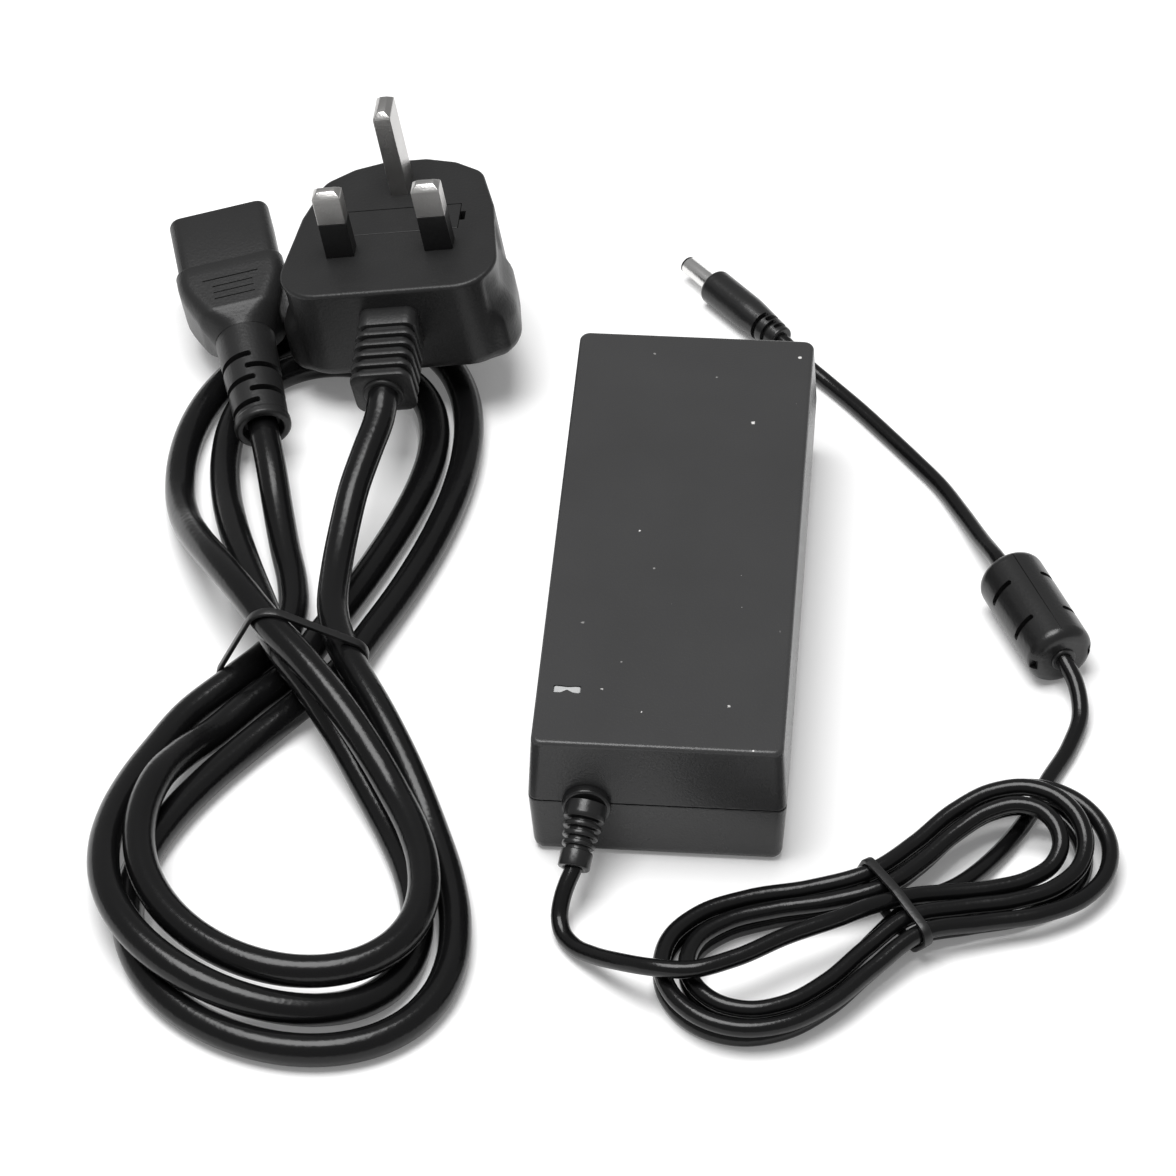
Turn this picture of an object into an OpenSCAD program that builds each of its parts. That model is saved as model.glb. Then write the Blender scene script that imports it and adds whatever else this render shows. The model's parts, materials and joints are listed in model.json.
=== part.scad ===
// Laptop power adapter: a two-shell brick with its moulded-on low-voltage lead,
// and a separate fused mains lead with a three-pin plug and an inlet connector.
// Frame: origin at the bottom centre of the brick, +Y towards the mains inlet, +Z up.

/* [Housing] */
// Width of the brick
case_w = 52.5; // [50:0.5:70]
// Length of the brick
case_l = 127.5; // [125:0.5:150]
// Height of the brick
case_h = 31.5; // [31:0.5:40]
// Height of the parting line above the base
split_h = 15.7; // [14.5:0.1:16.5]
// Wall thickness of both shells
wall_t = 2.2; // [1.8:0.1:2.6]
// Inward lean of each side at the top edge
top_draft = 0.8; // [0:0.1:1.2]
// Inward lean of each side at the base
base_draft = 0.95; // [0:0.05:1.2]
// Radius of the upright corners
corner_r = 3; // [2.5:0.1:4]
// Radius of the top edge
top_edge_r = 0.9; // [0.4:0.1:1.5]
// Radius of the base edge
base_edge_r = 2.4; // [1:0.1:2.4]
// Width of the seam groove
seam_w = 0.35; // [0.2:0.05:0.6]
// Depth of the seam groove
seam_d = 0.45; // [0.2:0.05:0.6]
// Height of the locating lip inside the seam
lip_h = 1.6; // [1:0.1:2.4]
// Clearance around parts that slot together
fit_gap = 0.1; // [0.05:0.05:0.2]

/* [Indicator] */
// Width of the light window
window_w = 5.5; // [3:0.1:8]
// Length of the light window
window_l = 2.1; // [1.5:0.1:4]
// Distance of the window from the left side
window_side = 7; // [6:0.1:12]
// Distance of the window from the output end
window_end = 16.4; // [12:0.1:20]
// Diameter of the lamp under the window
lamp_d = 3; // [2:0.1:4]

/* [Mains inlet] */
// Width of the inlet opening
inlet_w = 24.5; // [24:0.1:25]
// Height of the inlet opening
inlet_h = 16.3; // [16:0.1:17]
// Depth of the inlet opening
inlet_depth = 17; // [16:0.1:18]
// Wall of the inlet moulding
inlet_wall = 1.6; // [1.2:0.1:2]
// Distance between the line and neutral pins
inlet_pitch = 14; // [14:0.1:14.2]
// Offset of the earth pin from the row of the other two
inlet_earth_off = 4; // [3.8:0.1:4.2]
// Height of each inlet pin's section
inlet_pin_h = 4; // [3.8:0.1:4.2]
// Thickness of each inlet pin's section
inlet_pin_t = 2; // [1.8:0.1:2.2]
// Length of the line pins inside the opening
inlet_pin_len = 13; // [12:0.1:14]
// Extra length of the earth pin
inlet_earth_extra = 1; // [0.5:0.1:1.5]

/* [Electronics] */
// Thickness of the circuit board
board_t = 1.6; // [1:0.1:2]
// Height of the board above the inner floor
board_lift = 4.3; // [3.5:0.1:5]
// Gap between the board's edge and the shell
board_gap = 1.6; // [1.2:0.1:3]
// Diameter of the reservoir capacitor
bulk_d = 16; // [12:0.5:18]
// Length of the reservoir capacitor
bulk_l = 30; // [20:0.5:32]
// Width of the transformer core
core_w = 28; // [24:0.5:30]
// Height of the transformer core
core_h = 18.5; // [14:0.5:19]
// Height of the heat sinks
sink_h = 18; // [12:0.5:19]
// Diameter of the output capacitors
out_cap_d = 10; // [6:0.5:10]
// Height of the output capacitors
out_cap_h = 16; // [10:0.5:18]

/* [Output lead] */
// Diameter of the output lead
lead_d = 3.6; // [3:0.1:3.6]
// Diameter of the strain relief's flange
boot_flange_d = 10; // [9:0.1:12]
// Diameter of the strain relief's ribs
boot_rib_d = 6; // [5.4:0.1:7]
// Diameter of the strain relief's plain end
boot_end_d = 6.4; // [5.6:0.1:7]
// Diameter of the ferrite jacket
ferrite_d = 14.5; // [13:0.1:14.5]
// Length of the ferrite jacket
ferrite_l = 28; // [24:0.5:28]
// Outer diameter of the barrel
barrel_d = 4; // [4:0.1:5.5]
// Inner diameter of the barrel
barrel_bore = 1.7; // [1.3:0.1:2.5]
// Length of the barrel
barrel_l = 9.5; // [9:0.1:10]
// Diameter of the barrel plug's grip
grip_d = 8.2; // [7.5:0.1:8.2]
// Length of the barrel plug's grip
grip_l = 24.5; // [22:0.5:24.5]

/* [Mains lead] */
// Diameter of the mains cord
cord_d = 6.7; // [6:0.1:6.7]

/* [Mains plug] */
// Depth of the plug body below its face
plug_depth = 24; // [22:0.5:24]
// Half of the body's width
plug_half_w = 24.5; // [24:0.1:26]
// Distance from the line pins to the cord edge of the face
plug_front = 15; // [14:0.1:16]
// Distance from the line pins to the far edge of the face
plug_back = 31.4; // [30:0.1:33]
// Radius of the two corners beside the cord
plug_corner_r = 9.5; // [6:0.5:11]
// Distance between the line pins
pin_pitch = 22.2; // [22.2:0.1:22.3]
// Distance from the line pins to the earth pin
earth_dist = 22.4; // [22.2:0.1:22.5]
// Width of a line pin
pin_w = 6.35; // [6.3:0.05:6.4]
// Thickness of a line pin
pin_t = 4; // [3.9:0.05:4]
// Length of a line pin
pin_len = 17.7; // [17.2:0.1:18.2]
// Length of the insulating sleeves
sleeve_len = 9.3; // [9:0.1:9.5]
// Length of the earth pin's section
earth_w = 8; // [7.9:0.05:8.05]
// Length of the earth pin
earth_len = 22.7; // [22.2:0.1:23.2]
// Diameter of the fuse
fuse_d = 6.3; // [6.2:0.05:6.4]
// Length of the fuse
fuse_l = 25.4; // [25.2:0.1:25.6]
// Width of the fuse carrier's face
fuse_door_w = 29; // [28.5:0.1:30]
// Length of the fuse carrier's face
fuse_door_l = 8.4; // [8:0.1:8.8]

/* [Inlet connector] */
// Width of the connector's nose
nose_w = 22.8; // [22.5:0.1:24]
// Height of the connector's nose
nose_h = 15.8; // [15:0.1:16]
// Length of the connector's nose
nose_l = 16; // [15.5:0.1:18]
// Width of the connector's grip
hold_w = 24.4; // [24:0.1:27]
// Length of the connector's grip
hold_l = 18; // [16:0.5:20]

/* [Hidden] */

// Finishes
black = [0.09, 0.09, 0.095];
soft_black = [0.06, 0.06, 0.065];
nickel = [0.78, 0.78, 0.76];
brass = [0.72, 0.56, 0.28];
copper = [0.72, 0.38, 0.2];
tin = [0.7, 0.71, 0.72];

// Derived sizes of the housing
sliver = 0.01;
hull_fn = 32;
round_fn = 48;
top_w = case_w - 2 * top_draft;
top_l = case_l - 2 * top_draft;
base_w = case_w - 2 * base_draft;
base_l = case_l - 2 * base_draft;
edge_steps = [0, 30, 60, 90];
end_y = case_l / 2;
draft_most = max(top_draft, base_draft);
inner_r = max(corner_r - wall_t, 0.5);
floor_z = wall_t;
ceiling_z = case_h - wall_t;

// Derived places of the electronics
board_z = floor_z + board_lift;
deck_z = board_z + board_t;
inlet_z = case_h / 2 - 0.2;
inlet_block_w = inlet_w + 2 * inlet_wall;
inlet_block_h = inlet_h + 2 * inlet_wall;
inlet_back_t = 3;
inlet_block_l = inlet_depth + inlet_back_t;
inlet_flange = 1.4;
inlet_flange_t = 2;
inlet_set_in = 0.3;
inlet_front_y = end_y - inlet_set_in;
inlet_back_y = inlet_front_y - inlet_block_l;
inlet_flange_in = wall_t + draft_most + fit_gap;
inlet_row_z = -inlet_pin_h / 2 - inlet_earth_off / 2;
inlet_tag = 4;
tag_t = 0.8;
pin_lead_in = 1;
pin_lead_in_t = 0.3;
pin_lead_in_h = 0.4;
board_w = base_w - 2 * wall_t - 2 * board_gap;
board_front_gap = 1;
board_back_gap = 4;
board_front_y = inlet_back_y - board_front_gap;
board_back_y = -end_y + wall_t + board_back_gap;
board_l = board_front_y - board_back_y;
board_mid_y = (board_front_y + board_back_y) / 2;
post_in = 4;
post_d = 6;
post_pin_d = 2.6;
post_tip = 0.8;
post_x = board_w / 2 - post_in;
post_ys = [board_back_y + post_in, board_front_y - post_in];
sheet_t = 0.4;
leg_d = 0.8;
window_x = -case_w / 2 + window_side;
window_y = -end_y + window_end;
window_pipe_h = 3;
window_lip = 1;
lamp_h = 5;
lamp_pitch = 2;
lamp_rim = 0.4;
lamp_rim_t = 1;
lamp_gap = 0.4;
lamp_top_z = ceiling_z - window_pipe_h - lamp_gap;

// Sizes of the components
choke_w = 16;
choke_h = 14;
choke_t = 5;
choke_leg = 3.5;
choke_wind = 1.5;
small_fuse_d = 5;
small_fuse_l = 15;
small_fuse_cap = 4;
small_fuse_up = 1;
small_fuse_wall = 0.4;
bulk_pitch = 7.5;
bulk_leg_out = 1.4;
bulk_shoulder = 2.5;
bulk_rim = 3.4;
can_neck = 0.6;
film_w = 17;
film_t = 7.5;
film_h = 14;
bridge_w = 15;
bridge_t = 3.6;
bridge_h = 11;
bridge_legs = 4;
bridge_up = 3;
sink_t = 1.6;
sink_w = 26;
tab_w = 10;
tab_t = 1.3;
tab_h = 15;
chip_h = 9;
chip_t = 4.4;
chip_legs = 3;
chip_z = deck_z + 1.5;
screw_d = 3;
screw_z = chip_z + tab_h - 3.2;
screw_head = 1.6;
screw_head_d = 5.4;
screw_nut = 2.2;
screw_nut_d = 5.1;
sink_lip = 4;
core_t = 12;
core_leg = 5;
core_mid = 8;
core_gap = (core_w - 2 * core_leg - core_mid) / 2;
bobbin_wall = 1;
bobbin_gap = 0.4;
disc_in = 3.5;
disc_d = 8;
disc_t = 3;
disc_up = 1.5;
opto_w = 4.6;
opto_l = 6.5;
opto_h = 3.5;
opto_up = 1;
opto_leg = [0.4, 1, 2.5];
out_cap_foot = 2.2;
out_cap_crease = 0.8;
out_cap_crown = 0.5;
out_cap_gap = 0.6;
drum_d = 8;
drum_h = 12;
drum_lip = 1.5;
drum_wind = 0.6;
drum_gap = 1;

// Rows of components, spread evenly between the inlet's wires and the output end
wire_d = 1.8;
wire_run = 3;
wire_gap = 1.3;
wire_sides = 8;
part_side_in = 3;
bobbin_reach = core_t / 2 + core_gap - bobbin_gap;
sink_before = sink_t / 2 + screw_nut;
sink_behind = sink_t / 2 + chip_t;
row_depths = [film_t, choke_t + 2 * choke_wind, bulk_d, sink_before + sink_behind,
              2 * bobbin_reach, sink_before + sink_behind, out_cap_d];
row_start_y = inlet_back_y - inlet_tag - wire_run - wire_d / 2;
row_room = row_start_y - board_back_y;
function total(v, n) = n == 0 ? 0 : v[n - 1] + total(v, n - 1);
row_gap = (row_room - total(row_depths, len(row_depths))) / (len(row_depths) + 1);
function row_front(k) = row_start_y - (k + 1) * row_gap - total(row_depths, k);
function row_mid(k) = row_front(k) - row_depths[k] / 2;
row_filter_y = row_mid(0);
row_choke_y = row_mid(1);
row_bulk_y = row_mid(2);
row_primary_y = row_front(3) - sink_before;
row_core_y = row_mid(4);
row_secondary_y = row_front(5) - sink_before;
row_output_y = row_mid(6);
fuse_x = part_side_in + small_fuse_l / 2 - board_w / 2;
film_x = board_w / 2 - part_side_in - film_w / 2;
choke_x = part_side_in + choke_w / 2 - board_w / 2;
bridge_x = board_w / 2 - part_side_in - bridge_w / 2;
disc_x = board_w / 2 - disc_in;

// Places on the output end
boot_x = -14.2;
out_cap_from = boot_x + 5.4;
out_cap_pitch = out_cap_d + out_cap_gap;
drum_x = out_cap_from + out_cap_pitch + out_cap_d / 2 + drum_gap + drum_d / 2;
boot_z = split_h;
boot_neck_d = 7;
boot_flange_t = 1.8;
boot_inner_t = 2;
boot_inner_y = -end_y + wall_t + draft_most + fit_gap;
boot_yaw = -9;
boot_droop = 29;
boot_rib_n = 4;
boot_rib_pitch = 1.9;
boot_rib_t = 0.9;
boot_cone_l = 2.4;
boot_core_d = 4.8;
boot_len = 12.6;
boot_end_l = 3.6;
lead_sides = 8;
cord_sides = 10;
cord_gap_skip = 7;
lead_gap_skip = 5;

// Directions
function unit(v) = v / norm(v);
function clip(t) = min(max(t, 0), 1);
function ease(t) = (1 - cos(180 * clip(t))) / 2;
function smooth(t) = clip(t) * clip(t) * (3 - 2 * clip(t));

boot_root = [boot_x, -end_y, boot_z];
boot_dir = [sin(boot_yaw) * cos(boot_droop), -cos(boot_yaw) * cos(boot_droop), -sin(boot_droop)];
boot_tip = boot_root + [0, -boot_flange_t, 0] + boot_dir * boot_len;

// Barrel plug and ferrite, lying on the same surface as the brick
jack_yaw = 42.4;
jack_dir = [-sin(jack_yaw), cos(jack_yaw), 0];
jack_front = [0.4, 112.2, grip_d / 2];
jack_tail = jack_front - jack_dir * grip_l;
ferrite_yaw = 25.6;
ferrite_dir = [-sin(ferrite_yaw), cos(ferrite_yaw), 0];
ferrite_mid = [75.4, 5.3, ferrite_d / 2];
ferrite_low = ferrite_mid - ferrite_dir * ferrite_l / 2;
ferrite_high = ferrite_mid + ferrite_dir * ferrite_l / 2;
ferrite_core_d = 10.5;
ferrite_core_bore = 5;
ferrite_wall = 2;
ferrite_end_r = 2;
ferrite_slot_w = 1.2;
ferrite_slot_l = 5;
ferrite_slot_deep = 1;
ferrite_slot_x = 2.4;
ferrite_slot_mid = 9;
grip_edge = 0.6;
grip_slots = [18.5, 21.4];
grip_slot_t = 1.2;
grip_slot_from = 0.8;
grip_slot_deep = 1;
barrel_root = 4;
barrel_root_d = barrel_d + 1;
barrel_wall = 0.35;
contact_wall = 0.4;

// Mains plug, leaning on the wound cord
plug_at = [-69.1, 82.8, 36];
plug_turn = [-0.3, -8.9, -0.35];
plug_edge_r = 1;
plug_base_r = 3;
plug_bend_r = 5;
plug_bends = [[plug_half_w - plug_corner_r, plug_corner_r - plug_front, plug_corner_r],
              [plug_half_w - 7.5, 12, plug_bend_r],
              [plug_half_w - 10.6, plug_back - 9.4, plug_bend_r],
              [plug_half_w - 14.9, plug_back - 6.6, plug_bend_r],
              [4, plug_back - plug_bend_r, plug_bend_r]];
plug_flare = 1.8;
plug_flare_y = 12;
plug_waist_h = 10;
plug_waist_in = 1;
plug_flare_r = 2;
plug_flare_from = 15.6;
plug_flare_taper = 0.8;
notch = [1.2, 3, 2.5];
guard_w = 12.6;
guard_h = 10.8;
guard_rib_w = 13.6;
guard_rib_h = 12;
guard_rib_n = 5;
guard_rib_t = 1.5;
guard_pitch = 3;
guard_l = 19.4;
guard_drop = 7;
guard_axis_h = -10.2;
carrier_depth = 14;
carrier_w = 32;
carrier_front = 7;
carrier_shoulder = 18;
carrier_neck_w = 16;
carrier_back = 28.4;
pin_root = 8;
pin_tip = 1.2;
sleeve_t = 0.5;
door_y = 9.6;
door_t = 1.8;
fuse_h = -6.6;
fuse_cap_l = 6;
fuse_cap_t = 0.35;
fuse_gap = 0.05;
door_gap = 0.15;
clip_t = 0.6;
clip_w = 4;
clip_x = fuse_l / 2 - fuse_cap_l / 2;
cradle_w = 10;
cradle_low = 1.2;
cradle_mouth = 4.6;
clip_up = 1.5;
fuse_room = -fuse_h + fuse_d / 2 + fuse_gap + clip_t;
ball_fn = 16;

// Inlet connector, leaning on the wound cord
hook_yaw = 14.6;
hook_pitch = 8.2;
hook_roll = -8;
hook_at = [-94.5, 49.4, 10.7];
hook_guard_l = 26;
hook_guard_d = 12;
hook_root_d = 13.4;
hook_h = 17;
hook_slot_t = 1.5;
hook_slot_n = 3;
hook_slot_pitch = 6.6;
hook_slot_from = 0.6;
hook_slot_first = 3.2;
hook_slot_deep = 2;
hook_shoulder_w = 17.5;
hook_shoulder_h = 15;
hook_shoulder_r = 5;
hook_shoulder_y = 4;
hold_from = 11;
hold_r = 3.5;
nose_wall = 1.5;
insert_from = 2;
slot_deep = 13;
slot_w = inlet_pin_t + 2 * contact_wall + 2 * fit_gap;
slot_h = inlet_pin_h + 2 * contact_wall + 2 * fit_gap;
contact_in = 2;
chamfer_c = 4.4;

// Routes of the leads where they lie loose; each ends on its wound stretch
first_route = [[-16.9, -78.6, 8.1], [-17.9, -81.4, 5.8], [-18.2, -84.2, 3.6], [-17.4, -87.2, 2.4],
               [-14.9, -90.8, 2.5], [-10.5, -94.8, 4.4], [-5, -98.8, 7.3], [1.8, -102.1, 9.8],
               [9, -103, 10.6], [18, -99.3, 10.6], [28, -92.6, 10.6], [38, -86.8, 10.2],
               [44.2, -82, 9]];
second_route = [[53.5, -75.5, 3.6], [61, -70, 3], [69, -60, 2.2], [75, -49, 1.9], [79, -38, 1.8],
                [83.4, -27.5, 1.8], [85.4, -19, 2.9], [84, -12, 5.6]];
last_route = [[67.4, 21.9, 7], [63.6, 30.5, 4.8], [58.9, 41.2, 2.8], [54, 50.5, 1.9],
              [48.6, 57.8, 1.8], [42.3, 65.8, 1.8], [35.5, 74.2, 1.8], [28.2, 82.4, 1.9],
              [22, 88.3, 3]];
plug_route = [[-67.7, 42.5, 22.1], [-69.5, 34, 20], [-71.4, 25, 17.5], [-72.6, 15, 14.5],
              [-73.2, 4, 12.2], [-72.8, -6, 11.7], [-70.2, -16, 11.9], [-66.5, -24, 12]];
hook_route = [[-92, 40.5, 9.2], [-89.3, 30, 6.2], [-86.4, 19, 4.2], [-83.6, 9, 3.5],
              [-82.4, 0, 3.5], [-83.4, -8, 3.9], [-86.4, -14.5, 4.4], [-91.5, -21.5, 4.6]];

// A closed tube of flat sides, with a level frame at each ring
function heading(p, i) = let (last = len(p) - 1)
    i == 0 ? unit(p[1] - p[0]) : i == last ? unit(p[last] - p[last - 1])
    : unit(unit(p[i + 1] - p[i]) + unit(p[i] - p[i - 1]));
function level_side(t) = unit([t[1], -t[0], 0]);
function ring(c, t, r, n) = [for (k = [0:n - 1]) let (a = 360 * (k + 0.5) / n)
    c + r * (cos(a) * level_side(t) + sin(a) * cross(level_side(t), t))];
module tube(p, d, n, start, finish) {
    last = len(p) - 1;
    points = [for (i = [0:last]) each ring(p[i], i == 0 && start != undef ? start
        : i == last && finish != undef ? finish : heading(p, i), d / 2, n)];
    sides = [for (i = [0:last - 1], k = [0:n - 1]) let (a = i * n + k, b = i * n + (k + 1) % n)
        each [[a, b, a + n], [b, b + n, a + n]]];
    rim = last * n;
    near_cap = [for (k = [1:n - 2]) [0, k + 1, k]];
    far_cap = [for (k = [1:n - 2]) [rim, rim + k, rim + k + 1]];
    polyhedron(points = points, faces = concat(sides, near_cap, far_cap), convexity = 12);
}

// Least gap between stretches of one wound tube, sampled along its rings
function finer(p, n) = [for (i = [0:len(p) - 2], j = [0:n - 1]) p[i] + (p[i + 1] - p[i]) * j / n];
function least_gap(p, d, skip) = min([for (i = [0:len(p) - 1 - skip])
    for (j = [i + skip:1:len(p) - 1]) norm(p[i] - p[j])]) - d;
gap_samples = 4;

// Mains cord wound as a figure of eight, crossing at the tie. Each lobe has a side,
// reach, half width, lean, skew, roundness and its layers going in, far out and coming back.
lobes = [[1, 95.5, 27.5, 13.5, -0.03, -0.07, [0, 0, 1]],
         [-1, 100.5, 22, 7.5, -0.12, 0.06, [1, 0, 0]],
         [1, 89, 30.5, 10, 0.05, -0.17, [0, 1, 2]],
         [-1, 111.5, 26, -2.5, 0.32, -0.12, [2, 0, 0]],
         [1, 102, 33, -9.5, 0.26, -0.07, [0, 0, 1]]];
waist_slots = [-13.4, -2.2, -0.4, -4.5, 9.6, 10.4];
waist_at = [-80, -19.5];
waist_tilt = 0.04;
cord_layer = 7.25;
climb_from = 11;
climb_to_near = 44.5;
climb_to_far = 70;
hump_at = 0.33;
hump_half = 0.33;
wound_from = 0.05;
wound_to = 4.95;
loop_rings = 24;
cord_lift = 1.3;
lift_from = 4;
cord_lift_run = 16;
wound_sides = 6;
function cord_point(u) =
    let (k = min(floor(u), len(lobes) - 1), s = u - k, q = lobes[k], way = q[0],
         out = q[1] * sin(180 * s) * (1 + q[5] * pow(cos(180 * s), 2)),
         side = -q[2] * sin(360 * s),
         slot = waist_slots[k] + (waist_slots[k + 1] - waist_slots[k]) * smooth(s),
         rest = q[6][1], edge = s < 0.5 ? q[6][0] : q[6][2],
         climb_to = way > 0 ? climb_to_near : climb_to_far,
         climb = 1 - ease((out - climb_from) / (climb_to - climb_from)),
         hump = k == 0 ? 1 - ease(abs(s - hump_at) / hump_half) : 0,
         lift = cord_lift * (1 - ease((out - lift_from) / cord_lift_run)))
    [waist_at[0] + slot + side + q[3] * pow(sin(180 * s), 2) + way * waist_tilt * out,
     waist_at[1] - way * (out + q[4] * side),
     cord_d / 2 + cord_layer * (rest + (edge - rest) * climb + hump) + lift];
cord_loops = [cord_point(wound_from),
              for (i = [ceil(wound_from * loop_rings + 0.5):len(lobes) * loop_rings - 2])
                  cord_point(i / loop_rings),
              cord_point(wound_to)];
cord_start_dir = unit(cord_loops[1] - cord_loops[0]);
cord_last = len(cord_loops) - 1;
cord_end_dir = unit(cord_loops[cord_last] - cord_loops[cord_last - 1]);
cord_start = cord_loops[0] - cord_start_dir * cord_d;
cord_end = cord_loops[cord_last] + cord_end_dir * cord_d;

// Low-voltage lead wound as an oblong hank, drawn in at its waist. It spirals out on
// the upper layer and in again on the lower one, and humps over its own tail.
hank_mid = [48.5, -78];
hank_yaw = 34;
hank_turns = 4;
hank_reach = 39.4;
hank_reach_skew = -2.4;
hank_reach_step = 5.1;
hank_swell = 11.4;
hank_swell_skew = -1.6;
hank_swell_step = 4;
hank_waist = 1.2;
hank_waist_step = 4.75;
hank_bow = -0.02;
hank_round = 0.27;
hank_turn = 2.2;
hank_climb = 0.5;
hank_layer = 4.25;
hank_hump_at = 0.325;
hank_hump_half = 0.195;
hank_from = 0.02;
hank_to = 3.97;
lead_lift = 1.2;
lead_lift_run = 12;
function lead_point(t) =
    let (a = 360 * t - 90, u = sin(a), v = cos(a), turn = t < hank_turn ? t : 2 * hank_turn - t,
         along = (hank_reach + hank_reach_skew * v + hank_reach_step * turn) * v,
         swell = hank_swell + hank_swell_skew * v + hank_swell_step * turn,
         waist = hank_waist + hank_waist_step * turn,
         across = waist * pow(u, 3) + hank_bow * along * abs(v)
             + 2 * swell * u * (sqrt(v * v + hank_round * hank_round) - hank_round),
         climb = 1 - ease((t - hank_turn + hank_climb / 2) / hank_climb),
         hump = 1 - ease(abs(t - floor(t) - hank_hump_at) / hank_hump_half),
         lift = lead_lift * (1 - ease((abs(along) - lift_from) / lead_lift_run)))
    [hank_mid[0] + along * cos(hank_yaw) - across * sin(hank_yaw),
     hank_mid[1] + along * sin(hank_yaw) + across * cos(hank_yaw),
     lead_d / 2 + hank_layer * (climb + hump) + lift];
lead_loops = [lead_point(hank_from),
              for (i = [1:hank_turns * loop_rings - 1]) lead_point(i / loop_rings),
              lead_point(hank_to)];
lead_start_dir = unit(lead_loops[1] - lead_loops[0]);
lead_last = len(lead_loops) - 1;
lead_end_dir = unit(lead_loops[lead_last] - lead_loops[lead_last - 1]);
lead_start = lead_loops[0] - lead_start_dir * lead_d;
lead_end = lead_loops[lead_last] + lead_end_dir * lead_d;

// Ties: a thin band round each waist, resting on the surface underneath
tie_w = 2;
cord_tie_t = 1;
cord_tie_bend = 2.2;
cord_tie_y = -20.5;
cord_tie_corners = [[-94.2, 3.2], [-94.2, 6.4], [-86.1, 20.7], [-81.2, 20.7], [-65.3, 13.4],
                    [-66.4, 3.2]];
lead_tie_t = 0.9;
lead_tie_bend = 1.6;
lead_tie_corners = [[-11.3, 2.5], [-11.3, 7.9], [-2, 8.6], [9.6, 7.9], [10.9, 6], [10.9, 2.5]];

// Turning a direction the way rotate() does
function turned(v, a) =
    let (p = [v[0], v[1] * cos(a[0]) - v[2] * sin(a[0]), v[1] * sin(a[0]) + v[2] * cos(a[0])],
         q = [p[0] * cos(a[1]) + p[2] * sin(a[1]), p[1], p[2] * cos(a[1]) - p[0] * sin(a[1])])
    [q[0] * cos(a[2]) - q[1] * sin(a[2]), q[0] * sin(a[2]) + q[1] * cos(a[2]), q[2]];
guard_dir = turned([0, -cos(guard_drop), -sin(guard_drop)], plug_turn);
guard_tip = plug_at + turned([0, -plug_front - guard_l * cos(guard_drop),
                              guard_axis_h - guard_l * sin(guard_drop)], plug_turn);
hook_dir = turned([0, -1, 0], [hook_pitch, hook_roll, hook_yaw]);

// ---- Shared shapes ----
module rounded(w, l, r) {
    square([w - 2 * r, l], center = true);
    square([w, l - 2 * r], center = true);
    for (sx = [-1, 1], sy = [-1, 1])
        translate([sx * (w / 2 - r), sy * (l / 2 - r)]) circle(r = r, $fn = hull_fn);
}
module slab(w, l, r, z, h) {
    translate([0, 0, z]) linear_extrude(height = h) rounded(w, l, r);
}
module level(w, l, r, z) {
    for (sx = [-1, 1], sy = [-1, 1])
        translate([sx * (w / 2 - r), sy * (l / 2 - r), z])
            cylinder(r = r, h = sliver, $fn = hull_fn);
}
module block(size, at) {
    translate([at[0] - size[0] / 2, at[1] - size[1] / 2, at[2]]) cube(size);
}
// A rod between two heights, standing at a point
module rod(d, at, h) {
    translate(at) cylinder(d = d, h = h, $fn = round_fn);
}
// Children drawn along +Z, turned to run along a direction
module along(from, dir) {
    translate(from)
        rotate([0, acos(dir[2] / norm(dir)), atan2(dir[1], dir[0])]) children();
}
module at_plug() {
    translate(plug_at) rotate(plug_turn) children();
}
module at_hook() {
    translate(hook_at) rotate([hook_pitch, hook_roll, hook_yaw]) children();
}
module turned_rod(d1, d2, y0, y1) {
    translate([0, y0, 0]) rotate([-90, 0, 0])
        cylinder(d1 = d1, d2 = d2, h = y1 - y0, $fn = round_fn);
}
module band(corners, bend, t) {
    rotate([90, 0, 0]) linear_extrude(height = tie_w, center = true) difference() {
        hull() for (c = corners) translate(c) circle(r = bend + t, $fn = hull_fn);
        hull() for (c = corners) translate(c) circle(r = bend, $fn = hull_fn);
    }
}

// ---- Brick ----
module upper_body() {
    hull() {
        level(case_w, case_l, corner_r, split_h);
        for (a = edge_steps) {
            in = top_edge_r * (1 - cos(a));
            level(top_w - 2 * in, top_l - 2 * in, corner_r - in,
                  case_h - top_edge_r * (1 - sin(a)) - sliver);
        }
    }
}
module lower_body() {
    hull() {
        level(case_w, case_l, corner_r, split_h - sliver);
        for (a = edge_steps) {
            in = base_edge_r * (1 - cos(a));
            level(base_w - 2 * in, base_l - 2 * in, corner_r - in, base_edge_r * (1 - sin(a)));
        }
    }
}
module upper_room() {
    hull() {
        level(case_w - 2 * wall_t, case_l - 2 * wall_t, inner_r, split_h - 1);
        level(case_w - 2 * wall_t, case_l - 2 * wall_t, inner_r, split_h);
        level(top_w - 2 * wall_t, top_l - 2 * wall_t, inner_r, ceiling_z - sliver);
    }
}
module lower_room() {
    hull() {
        level(case_w - 2 * wall_t, case_l - 2 * wall_t, inner_r, split_h + 1);
        level(case_w - 2 * wall_t, case_l - 2 * wall_t, inner_r, split_h - sliver);
        level(base_w - 2 * wall_t, base_l - 2 * wall_t, inner_r, floor_z);
    }
}
module seam_groove() {
    difference() {
        slab(case_w + 2, case_l + 2, corner_r, split_h - seam_w / 2, seam_w);
        slab(case_w - 2 * seam_d, case_l - 2 * seam_d, corner_r - seam_d, split_h - seam_w, 2 * seam_w);
    }
}
module end_cutouts() {
    block([inlet_block_w, 2 * inlet_block_l, inlet_block_h],
          [0, end_y, inlet_z - inlet_block_h / 2]);
    along([boot_x, -end_y - boot_flange_t, boot_z], [0, 1, 0])
        cylinder(d = boot_neck_d, h = 2 * wall_t + 2 * boot_flange_t, $fn = round_fn);
}
module posts(d, z, h) {
    for (sx = [-1, 1], y = post_ys) rod(d, [sx * post_x, y, z], h);
}
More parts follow.
